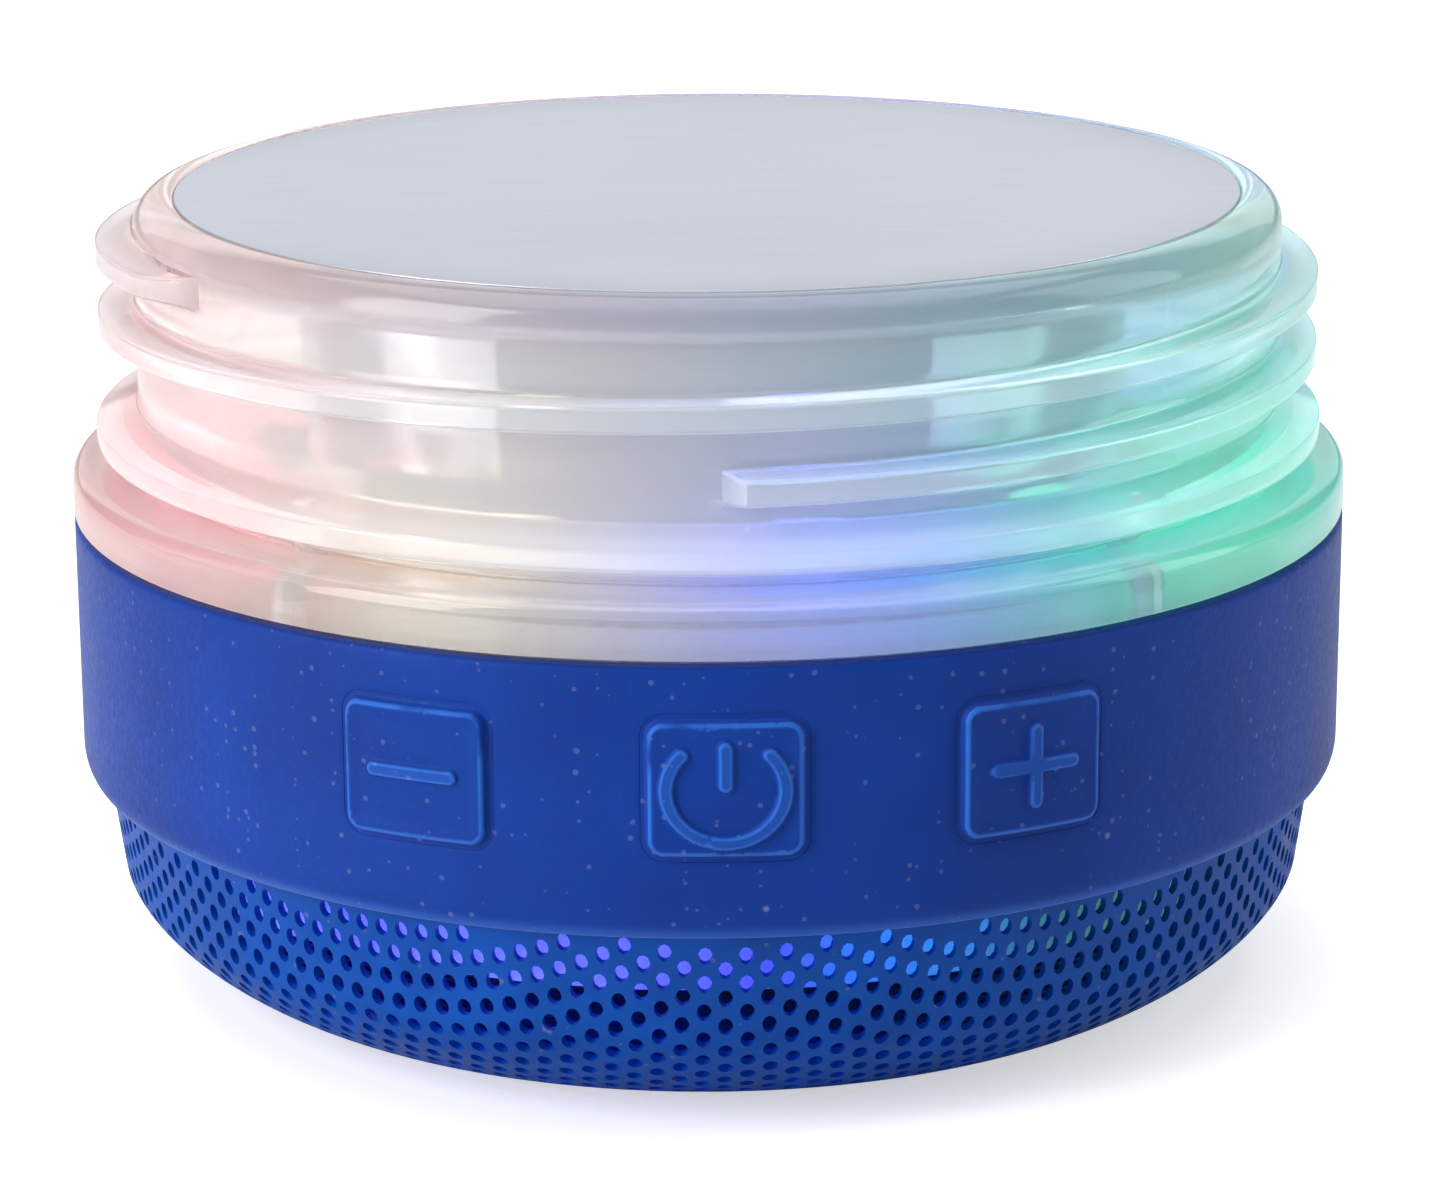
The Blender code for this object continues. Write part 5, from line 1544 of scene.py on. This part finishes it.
    def skin(self, name: str, half_x: float, half_y: float, corner: float, azimuth: float, middle: float,
             back: float, step: float,
             rise: Callable[[np.ndarray, np.ndarray], np.ndarray]) -> bpy.types.Object:
        """Makes a closed patch of silicone whose front follows a height function.

        Args:
            name: the piece's name.
            half_x: half its width.
            half_y: half its height.
            corner: its corner radius.
            azimuth: where its centre lies.
            middle: its centre's height.
            back: radius of its back.
            step: size of the grid on its front.
            rise: gives the front's radius at places across and up.

        Returns:
            The mesh object.
        """
        draft = MeshDraft(name)
        across = np.linspace(-half_x, half_x, round(2 * half_x / step) + 1)
        up = np.linspace(-half_y, half_y, round(2 * half_y / step) + 1)
        x, y = (part.copy() for part in np.meshgrid(across, up))
        distance = rounded_box_distance(x, y, half_x, half_y, corner)
        outside = np.maximum(distance, 0)
        from_x = np.sign(x) * np.maximum(np.abs(x) - (half_x - corner), 0)
        from_y = np.sign(y) * np.maximum(np.abs(y) - (half_y - corner), 0)
        length = np.maximum(np.hypot(from_x, from_y), 1e-9)
        x -= outside * from_x / length
        y -= outside * from_y / length
        front = wrap(x, rise(x, y), y + middle, azimuth, self.radius)
        rear = wrap(x, np.full_like(x, back), y + middle, azimuth, self.radius)
        draft.add_grid(front)
        ring = [(0, column) for column in range(len(across) - 1)]
        ring += [(row, len(across) - 1) for row in range(len(up) - 1)]
        ring += [(len(up) - 1, column) for column in range(len(across) - 1, 0, -1)]
        ring += [(row, 0) for row in range(len(up) - 1, 0, -1)]
        rows = np.array([[front[place] for place in ring], [rear[place] for place in ring]])
        draft.add_grid(rows, close_columns=True)
        first = draft.add_points(np.array([rear[place] for place in ring]))
        draft.faces.append(tuple(range(first, first + len(ring))))
        return draft.make(weld=0.004, smooth=60.0)

    def icon_distance(self, kind: KeyKind, x: np.ndarray, y: np.ndarray) -> np.ndarray:
        """Distance to the middle line of a key's symbol.

        Args:
            kind: the key.
            x: across coordinates.
            y: up coordinates.

        Returns:
            The distances.
        """
        half_wide = (self.icon_wide - self.icon_stroke) / 2
        half_tall = (self.icon_tall - self.icon_stroke) / 2
        level = bar_distance(x, y, (-half_wide, 0), (half_wide, 0))
        if kind is KeyKind.MINUS:
            return level
        if kind is KeyKind.PLUS:
            return np.minimum(level, bar_distance(x, y, (0, -half_tall), (0, half_tall)))
        rounded = y * self.ring_squash
        turn = np.degrees(np.arctan2(x, rounded))
        limit = np.clip(np.abs(turn), self.ring_opening, 180.0)
        near = np.radians(limit) * np.where(turn < 0, -1, 1)
        ring = np.hypot(x - self.ring_radius * np.sin(near), rounded - self.ring_radius * np.cos(near))
        return np.minimum(ring, bar_distance(x, y, (0, self.power_bar[0]), (0, self.power_bar[1])))

    def key(self, kind: KeyKind) -> bpy.types.Object:
        """Returns a key's skin, from the groove round it to its raised symbol.

        Args:
            kind: which key.
        """
        floor = self.radius - self.floor_depth

        def rise(x: np.ndarray, y: np.ndarray) -> np.ndarray:
            """Returns the front's radius."""
            edge = rounded_box_distance(x, y, self.key_width / 2 - 0.02, self.key_tall / 2 - 0.02,
                                        self.key_corner)
            pad = 1 - smooth_step(edge, *self.pad_bevel)
            dish = self.key_dish * smooth_step(-edge, 0.3, 1.0)
            stroke = self.icon_distance(kind, x, y)
            inner, outer = (self.icon_stroke * share for share in self.symbol_bevel)
            symbol = 1 - smooth_step(stroke, inner, outer)
            face = floor + (self.floor_depth + self.key_proud) * pad - dish
            return face + (self.icon_proud + dish) * symbol

        inset = 0.015
        return self.skin(f"{kind.label}_key_skin", self.key_width / 2 + self.gap - inset,
                         self.key_tall / 2 + self.gap - inset, self.key_corner + self.gap - inset,
                         kind.value * self.key_spacing, self.key_height, self.inner + 0.45, 0.085, rise)

    def flap(self) -> bpy.types.Object:
        """Returns the flap over the charging socket, with its finger grip."""
        def rise(x: np.ndarray, y: np.ndarray) -> np.ndarray:
            """Returns the front's radius."""
            edge = rounded_box_distance(x, y, self.flap_width / 2, self.flap_tall / 2, self.flap_corner)
            border = -0.12 * smooth_step(edge, -0.25, 0.0)
            grip = bar_distance(x, y, (-2.5, -self.flap_tall / 2 + 1.2), (2.5, -self.flap_tall / 2 + 1.2))
            proud = self.grip_proud * (1 - smooth_step(grip, 0.12, 0.62))
            return np.minimum(self.radius + border + proud, self.radius + self.grip_proud)

        return self.skin("flap_skin", self.flap_width / 2, self.flap_tall / 2, self.flap_corner, 180.0,
                         self.flap_height, self.inner + 0.15, 0.14, rise)

    def tongue(self) -> bpy.types.Object:
        """Returns the flap's tongue, which plugs the socket."""
        draft = MeshDraft("flap_tongue")
        outline = []
        half_x, half_z, corner = 3.2, 1.1, 0.5
        for sign_x, sign_z, start in ((1, -1, 270), (1, 1, 0), (-1, 1, 90), (-1, -1, 180)):
            outline += arc_points((sign_x * (half_x - corner), sign_z * (half_z - corner)), corner, start,
                                  start + 90, 5)
        rows = []
        for y, share in ((31.62, 0.86), (31.75, 0.97), (32.0, 1.0), (34.24, 1.0)):
            rows.append([(x * share, y, self.flap_height + z * share) for x, z in outline])
        draft.add_grid(np.array(rows), close_columns=True)
        count = len(outline)
        draft.faces.append(tuple(range(count)))
        draft.faces.append(tuple(reversed(range(3 * count, 4 * count))))
        return draft.make(smooth=50.0)

    def hinge_web(self) -> bpy.types.Object:
        """Returns the thin web that joins the flap to the sleeve."""
        draft = MeshDraft("flap_web")
        top = self.flap_height + self.flap_tall / 2
        heights = np.linspace(top - 0.12, top + self.gap + 0.04, 9)
        across = np.linspace(-4.6, 4.6, 19)
        x, height = np.meshgrid(across, heights)
        front = wrap(x, np.full_like(x, self.radius - 0.22), height, 180.0, self.radius)
        rear = wrap(x, np.full_like(x, self.radius - 0.5), height, 180.0, self.radius)
        grid = np.concatenate([front, rear[::-1]])
        draft.add_grid(grid, close_rows=True)
        rows = len(grid)
        for column in (0, len(across) - 1):
            side = [row * len(across) + column for row in range(rows)]
            draft.faces.append(tuple(side if column else reversed(side)))
        return draft.make(smooth=60.0)

    def build(self) -> None:
        """Builds and dresses the sleeve, the keys and the flap."""
        dress(self.sleeve(), BLUE_SILICONE, "housing", ["silicone_band"])
        for kind in KeyKind:
            piece = self.key(kind)
            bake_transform(piece)
            dress(piece, BLUE_SILICONE, "", [f"{kind.label}_pad"])
        dress(self.flap(), BLUE_SILICONE, "port_cover", ["port_flap"])
        dress(self.tongue(), BLUE_SILICONE, "port_cover")
        web = self.hinge_web()
        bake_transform(web)
        dress(web, BLUE_SILICONE, "")


# ---------------------------------------------------------------------------------------------------
# Grille


@dataclass
class PunchedGrille:
    """The drawn steel dish with its staggered holes, laid out on the flat sheet and then drawn."""

    rim_radius: float = 33.8
    rim_height: float = 12.1
    draft_in: float = 0.85
    knee_depth: float = 8.3
    knee_height: float = 6.0
    knee_power: float = 1.5
    wall: float = 0.4
    pitch: float = 1.30
    hole: float = 0.4
    stretch: float = 1.22
    hole_sides: int = 10
    plain_rim: float = 0.9

    def profile(self) -> np.ndarray:
        """Returns points of (radius, height) from the middle of the foot to the rim."""
        knee = self.rim_radius - self.draft_in
        turns = np.linspace(math.pi / 2, 0, 60)
        power = 2 / self.knee_power
        curve = [(knee - self.knee_depth * (1 - math.cos(turn) ** power),
                  self.knee_height * (1 - math.sin(turn) ** power)) for turn in turns]
        rise = self.rim_height - self.knee_height
        wall = [(knee + self.draft_in * share, self.knee_height + rise * share)
                for share in np.linspace(0, 1, 20)[1:]]
        return np.array([(0.0, 0.0)] + curve + wall)

    def draw(self, flat: np.ndarray, depth: float) -> np.ndarray:
        """Draws flat places into the dish.

        Args:
            flat: places on the flat sheet.
            depth: how far inside the outer surface.

        Returns:
            Points in millimetres.
        """
        line = self.profile()
        steps = np.hypot(*np.diff(line, axis=0).T)
        along = np.concatenate([[0], np.cumsum(steps)])
        flat_along = self.flat_radius(along)
        tangent = np.gradient(line, along, axis=0)
        tangent /= np.maximum(np.hypot(tangent[:, 0], tangent[:, 1]), 1e-9)[:, None]
        inside = line + np.column_stack([-tangent[:, 1], tangent[:, 0]]) * depth
        radius = np.hypot(flat[:, 0], flat[:, 1])
        turn = np.arctan2(flat[:, 0], -flat[:, 1])
        out = np.interp(radius, flat_along, inside[:, 0])
        height = np.interp(radius, flat_along, inside[:, 1])
        return np.column_stack([out * np.sin(turn), -out * np.cos(turn), height])

    def flat_radius(self, along: np.ndarray) -> np.ndarray:
        """Gives the radius on the flat sheet for a length along the profile.

        Args:
            along: lengths from the middle of the foot.

        Returns:
            Radii on the flat sheet, where the wall hasn't been stretched yet.
        """
        start = self.rim_radius - self.draft_in - self.knee_depth
        return np.where(along < start, along, start + (along - start) / self.stretch)

    def sheet(self) -> bpy.types.Object:
        """Returns the whole dish, punched, as one closed mesh."""
        line = self.profile()
        length = float(np.hypot(*np.diff(line, axis=0).T).sum())
        limit = float(self.flat_radius(np.array([length]))[0])
        column_step = self.pitch * math.sqrt(3) / 2
        reach = math.ceil(limit / column_step) + 1
        centres = [(column * column_step, (row + 0.5 * (column % 2)) * self.pitch)
                   for column in range(-reach, reach + 1)
                   for row in range(-reach - 4, reach + 5)]
        centres = np.array([centre for centre in centres if math.hypot(*centre) < limit - self.pitch * 0.25])
        corners = self.pitch / math.sqrt(3) * np.array(
            [(math.cos(math.radians(60 * turn)), math.sin(math.radians(60 * turn))) for turn in range(6)])
        sides = self.hole_sides
        circle = self.hole * np.array(
            [(math.cos(math.tau * (turn + 0.5) / sides), math.sin(math.tau * (turn + 0.5) / sides))
             for turn in range(sides)])
        pattern = self.bridge(6, sides)
        keys: dict[tuple[int, int], int] = {}
        flat: list[tuple[float, float]] = []
        faces: list[tuple[int, ...]] = []
        rings: list[list[int]] = []
        for centre in centres:
            around = []
            for corner in centre + corners:
                key = (round(corner[0] * 200), round(corner[1] * 200))
                if key not in keys:
                    keys[key] = len(flat)
                    flat.append(tuple(corner))
                around.append(keys[key])
            if math.hypot(*centre) > limit - self.plain_rim:
                faces.append(tuple(around))
                continue
            first = len(flat)
            flat += [tuple(point) for point in centre + circle]
            ring = list(range(first, first + sides))
            rings.append(ring)
            both = around + ring
            faces += [tuple(both[index] for index in face) for face in pattern]
        places = np.array(flat)
        edges: dict[tuple[int, int], int] = {}
        for face in faces:
            for start, end in zip(face, face[1:] + face[:1]):
                edges[start, end] = 1
        inner_edges = {(ring[i], ring[i - 1]) for ring in rings for i in range(sides)}
        inner_edges |= {(ring[i - 1], ring[i]) for ring in rings for i in range(sides)}
        rim = [edge for edge in edges if edge[::-1] not in edges and edge not in inner_edges]
        for index in {index for edge in rim for index in edge}:
            places[index] *= limit / math.hypot(*places[index])
        draft = MeshDraft("punched_grille")
        front = draft.add_points(self.draw(places, 0.0))
        back = draft.add_points(self.draw(places, self.wall))
        draft.faces += [tuple(front + index for index in face) for face in faces]
        draft.faces += [tuple(back + index for index in reversed(face)) for face in faces]
        for ring in rings:
            for index in range(sides):
                draft.faces.append((front + ring[index - 1], front + ring[index], back + ring[index],
                                    back + ring[index - 1]))
        for start, end in rim:
            draft.faces.append((front + end, front + start, back + start, back + end))
        return draft.make(weld=0.0005, smooth=45.0)

    @staticmethod
    def bridge(outer: int, inner: int) -> list[tuple[int, int, int]]:
        """Fills the ring between an outer and an inner polygon with triangles.

        Args:
            outer: corners of the outer one, the first at angle 0.
            inner: corners of the inner one, the first half a step round.

        Returns:
            Triangles of indices, the inner corners following the outer ones.
        """
        outer_turns = [turn / outer for turn in range(outer + 1)]
        inner_turns = [(turn + 0.5) / inner for turn in range(inner + 1)]
        triangles = []
        at_outer, at_inner = 0, 0
        while at_outer < outer or at_inner < inner:
            next_outer = outer_turns[at_outer + 1] if at_outer < outer else 9.0
            next_inner = inner_turns[at_inner + 1] if at_inner < inner else 9.0
            here, there = at_outer % outer, outer + at_inner % inner
            if next_outer <= next_inner:
                triangles.append((here, (at_outer + 1) % outer, there))
                at_outer += 1
            else:
                triangles.append((here, outer + (at_inner + 1) % inner, there))
                at_inner += 1
        return triangles

    def build(self) -> None:
        """Builds and dresses the grille."""
        dress(self.sheet(), BLUE_GRILLE, "housing", ["grille"])


# ---------------------------------------------------------------------------------------------------
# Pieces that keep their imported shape


@dataclass
class InnerWorks:
    """Boards, switches, loudspeaker, leads and screws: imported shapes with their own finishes."""

    lamps: LampRing = field(default_factory=LampRing)

    def finishes(self) -> dict[str, tuple[Finish, float]]:
        """Returns each node's finish and the rounding of its edges in millimetres."""
        found: dict[str, tuple[Finish, float]] = {
            "chassis": (LIT_CHASSIS, 0.0), "led_board": (BOARD, 0.1), "main_board": (BOARD, 0.1),
            "battery_pad": (BLACK_FOAM, 0.2), "bluetooth_module": (CAN_STEEL, 0.1),
            "amplifier_chip": (CHIP_EPOXY, 0.05), "battery_connector": (CREAM_CONNECTOR, 0.1),
            "charging_port": (CAN_STEEL, 0.1), "speaker_gasket": (BLACK_FOAM, 0.1),
            "speaker_frame": (STEEL, 0.12), "front_plate": (STEEL, 0.15), "yoke": (STEEL, 0.15),
            "magnet": (FERRITE, 0.15), "voice_coil": (COPPER, 0.05), "cone": (PAPER_CONE, 0.0),
            "dust_cap": (BLACK_RUBBER, 0.0),
        }
        for kind in KeyKind:
            found[f"{kind.label}_key"] = (WHITE_KEY, 0.12)
            found[f"{kind.label}_stem"] = (BLACK_PLASTIC, 0.1)
            found[f"{kind.label}_switch"] = (CAN_STEEL, 0.1)
        for index in range(1, 5):
            found[f"housing_screw_{index}"] = (SCREW_STEEL, 0.1)
            found[f"speaker_screw_{index}"] = (SCREW_STEEL, 0.1)
        for lead in ("battery_lead", "speaker_lead"):
            found[f"{lead}_red"] = (RED_WIRE, 0.0)
            found[f"{lead}_black"] = (BLACK_WIRE, 0.0)
        for index, colour in enumerate(self.lamps.colours):
            lens = LampLens(f"lamp_{colour.name.lower()}", (0.9, 0.9, 0.86), 0.3, light=colour)
            found[f"led_{index + 1:02d}"] = (lens, 0.1)
        return found

    def build(self, nodes: dict[str, bpy.types.Object]) -> None:
        """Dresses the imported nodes.

        Args:
            nodes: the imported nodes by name.
        """
        for name, (finish, rounding) in self.finishes().items():
            piece = nodes[name]
            piece.data.materials.clear()
            piece.data.materials.append(finish.make())
            if rounding:
                soften(piece, rounding)
            LOG.info("%s: packed shape, finish %s", name, finish.name)


# ---------------------------------------------------------------------------------------------------
# Speaker suspension


@dataclass
class SpeakerSuspension:
    """The cone's rubber surround and cloth spider, in rings with shares of the diaphragm's travel; only the
    end rings ride on a body.
    """

    roll_middle: float = 19.2
    roll_reach: float = 1.8
    roll_depth: float = 1.9
    roll_height: float = 7.9
    rubber: float = 0.5
    surround_edges: tuple[float, ...] = (15.8, 17.41, 18.3, 19.2, 20.1, 20.99, 23.6)
    surround_shares: tuple[float, ...] = (1.0, 0.87, 0.62, 0.38, 0.13, 0.0)
    wave_height: float = 13.4
    wave_depth: float = 0.3
    waves: int = 2
    cloth: float = 0.35
    spider_edges: tuple[float, ...] = (7.6, 9.1, 10.7, 12.3, 13.9, 15.3)
    spider_shares: tuple[float, ...] = (1.0, 0.75, 0.5, 0.25, 0.0)
    slit: float = 0.01
    steps: int = 8
    columns: int = 96
    blend_reach: float = 1.0

    def roll(self, radius: np.ndarray) -> np.ndarray:
        """Height of the surround's underside at a radius."""
        share = (radius - self.roll_middle) / self.roll_reach
        return self.roll_height - self.roll_depth * np.sqrt(np.clip(1 - share * share, 0, 1))

    def wave(self, radius: np.ndarray) -> np.ndarray:
        """Height of the spider's underside at a radius."""
        first, last = self.spider_edges[0], self.spider_edges[-1]
        return self.wave_height + self.wave_depth * np.sin(
            (radius - first) / (last - first) * math.tau * self.waves)

    def ring(self, name: str, inner: float, outer: float, wall: float,
             under: Callable[[np.ndarray], np.ndarray]) -> bpy.types.Object:
        """Makes one closed ring of sheet.

        Args:
            name: the piece's name.
            inner: its inner radius.
            outer: its outer radius.
            wall: its thickness.
            under: gives the underside's height at a radius.

        Returns:
            The mesh object.
        """
        radii = np.linspace(inner + self.slit, outer - self.slit, self.steps + 1)
        heights = under(radii)
        outline = list(zip(radii, heights)) + list(zip(radii[::-1], heights[::-1] + wall))
        draft = MeshDraft(name)
        revolve(draft, outline, np.arange(self.columns) * FULL_TURN / self.columns, closed=True)
        return draft.make()

    def attach(self, piece: bpy.types.Object, share: float) -> str:
        """Picks the body that a ring rides on, from its share of the diaphragm's travel.

        Args:
            piece: the ring.
            share: its share, from 0 to 1.

        Returns:
            The body it rides on, or "" for a ring between the ends, which keeps its place.
        """
        if share in (0.0, 1.0):
            return "diaphragm" if share else "housing"
        low, high = 0.0, 1.0
        for _ in range(30):
            middle = (low + high) / 2
            low, high = (middle, high) if middle * middle * (3 - 2 * middle) < share else (low, middle)
        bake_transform(piece)
        return ""

    def build(self) -> None:
        """Builds and dresses the surround's and the spider's rings."""
        kinds = (("surround", "black_rubber", BLACK_RUBBER, self.surround_edges, self.surround_shares,
                  self.rubber, self.roll),
                 ("spider", "linen", SPIDER_CLOTH, self.spider_edges, self.spider_shares, self.cloth,
                  self.wave))
        for node, slot, finish, edges, shares, wall, under in kinds:
            for index, share in enumerate(shares):
                piece = self.ring(f"{node}_ring_{index + 1}", edges[index], edges[index + 1], wall, under)
                middle = float(under(np.array(edges[index:index + 2])).mean())
                body = self.attach(piece, share)
                dress(piece, finish, body, [] if index else [node])


# ---------------------------------------------------------------------------------------------------
# Studio


@dataclass
class Studio:
    """Pale floor, soft boxes and the camera."""

    distance: float = 253.1
    azimuth: float = -1.2
    height: float = 89.8
    pitch: float = 15.43
    yaw: float = 0.166
    roll: float = -0.304
    lens: float = 116.82
    sensor: float = 36.0
    world: Colour = (0.60, 0.62, 0.66)
    world_strength: float = 0.26
    paper: Colour = (0.80, 0.80, 0.80)
    floor_light: float = 0.55

    def floor(self) -> None:
        """Adds the floor."""
        draft = MeshDraft("studio_floor")
        half = 2600.0
        draft.add_grid(np.array([[(-half, -half, -0.05), (half, -half, -0.05)],
                                 [(-half, half, -0.05), (half, half, -0.05)]]))
        made = draft.make()
        paper = bpy.data.materials.new("studio_paper")
        paper.use_nodes = True
        shader = paper.node_tree.nodes["Principled BSDF"]
        shader.inputs["Base Color"].default_value = (*self.paper, 1.0)
        shader.inputs["Roughness"].default_value = 0.9
        shader.inputs["Specular IOR Level"].default_value = 0.0
        shader.inputs["Emission Color"].default_value = (1.0, 1.0, 1.0, 1.0)
        sheet = NodeSheet(paper.node_tree)
        rays = sheet.add("LightPath")
        seen = sheet.math("MAXIMUM", rays.outputs["Is Camera Ray"], rays.outputs["Is Transmission Ray"])
        sheet.feed(shader.inputs["Emission Strength"], sheet.math("MULTIPLY", seen, self.floor_light))
        made.data.materials.append(paper)
        made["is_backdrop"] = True

    def soft_box(self, name: str, place: Sequence[float], size: Sequence[float], power: float,
                 colour: Colour = (1.0, 1.0, 1.0), aim: Sequence[float] = (0.0, 0.0, 25.0)) -> None:
        """Adds a rectangular light.

        Args:
            name: its name.
            place: its centre in millimetres.
            size: its width and height in millimetres.
            power: its power in watts.
            colour: its colour.
            aim: the point that it faces.
        """
        light = bpy.data.lights.new(name, "AREA")
        light.shape = "RECTANGLE"
        light.size, light.size_y = size[0] * MM, size[1] * MM
        light.energy = power
        light.color = colour
        made = bpy.data.objects.new(name, light)
        made.location = Vector(place) * MM
        made.rotation_euler = (Vector(aim) - Vector(place)).to_track_quat("-Z", "Y").to_euler()
        bpy.context.scene.collection.objects.link(made)

    def camera(self) -> None:
        """Adds the camera."""
        data = bpy.data.cameras.new("studio_camera")
        data.lens = self.lens
        data.sensor_width = self.sensor
        data.clip_start, data.clip_end = 0.01, 20.0
        made = bpy.data.objects.new("studio_camera", data)
        turn = Matrix.Rotation(math.radians(self.azimuth - self.yaw), 4, "Z")
        tilt = Matrix.Rotation(math.radians(90 - self.pitch), 4, "X")
        roll = Matrix.Rotation(math.radians(self.roll), 4, "Z")
        place = polar(self.distance, self.azimuth, self.height) * MM
        made.matrix_world = Matrix.Translation(place) @ turn @ tilt @ roll
        bpy.context.scene.collection.objects.link(made)
        bpy.context.scene.camera = made

    def build(self) -> None:
        """Builds the studio."""
        world = bpy.data.worlds.new("studio_world")
        world.use_nodes = True
        background = world.node_tree.nodes["Background"]
        background.inputs["Color"].default_value = (*self.world, 1.0)
        background.inputs["Strength"].default_value = self.world_strength
        bpy.context.scene.world = world
        bpy.context.scene.view_settings.view_transform = "Standard"
        self.floor()
        self.soft_box("left_box", (-380, -230, 200), (240, 420), 2.3)
        self.soft_box("right_box", (440, -20, 220), (240, 400), 0.75)
        self.soft_box("top_box", (0, 60, 560), (700, 600), 2.5)
        self.soft_box("back_box", (0, 620, 260), (900, 420), 0.85)
        self.camera()


def corners(bounds: tuple[Vector, Vector]) -> list[list[float]]:
    """Turns a box's corners into plain lists.

    Args:
        bounds: its lowest and highest corner.

    Returns:
        Two lists of three numbers.
    """
    return [[float(value) for value in corner] for corner in bounds]


def main() -> None:
    """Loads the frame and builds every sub-assembly."""
    logging.basicConfig(level=logging.INFO, format="%(name)s %(message)s")
    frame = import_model()
    packed_bounds = corners(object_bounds())
    Studio().build()
    ThreadedNeck().build()
    BatteryPack().build()
    SiliconeBand().build()
    PunchedGrille().build()
    InnerWorks(LAMPS).build(frame["nodes"])
    SpeakerSuspension().build()
    {"cad": packed_bounds, "visual": corners(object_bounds())}


if __name__ == "__main__":
    main()
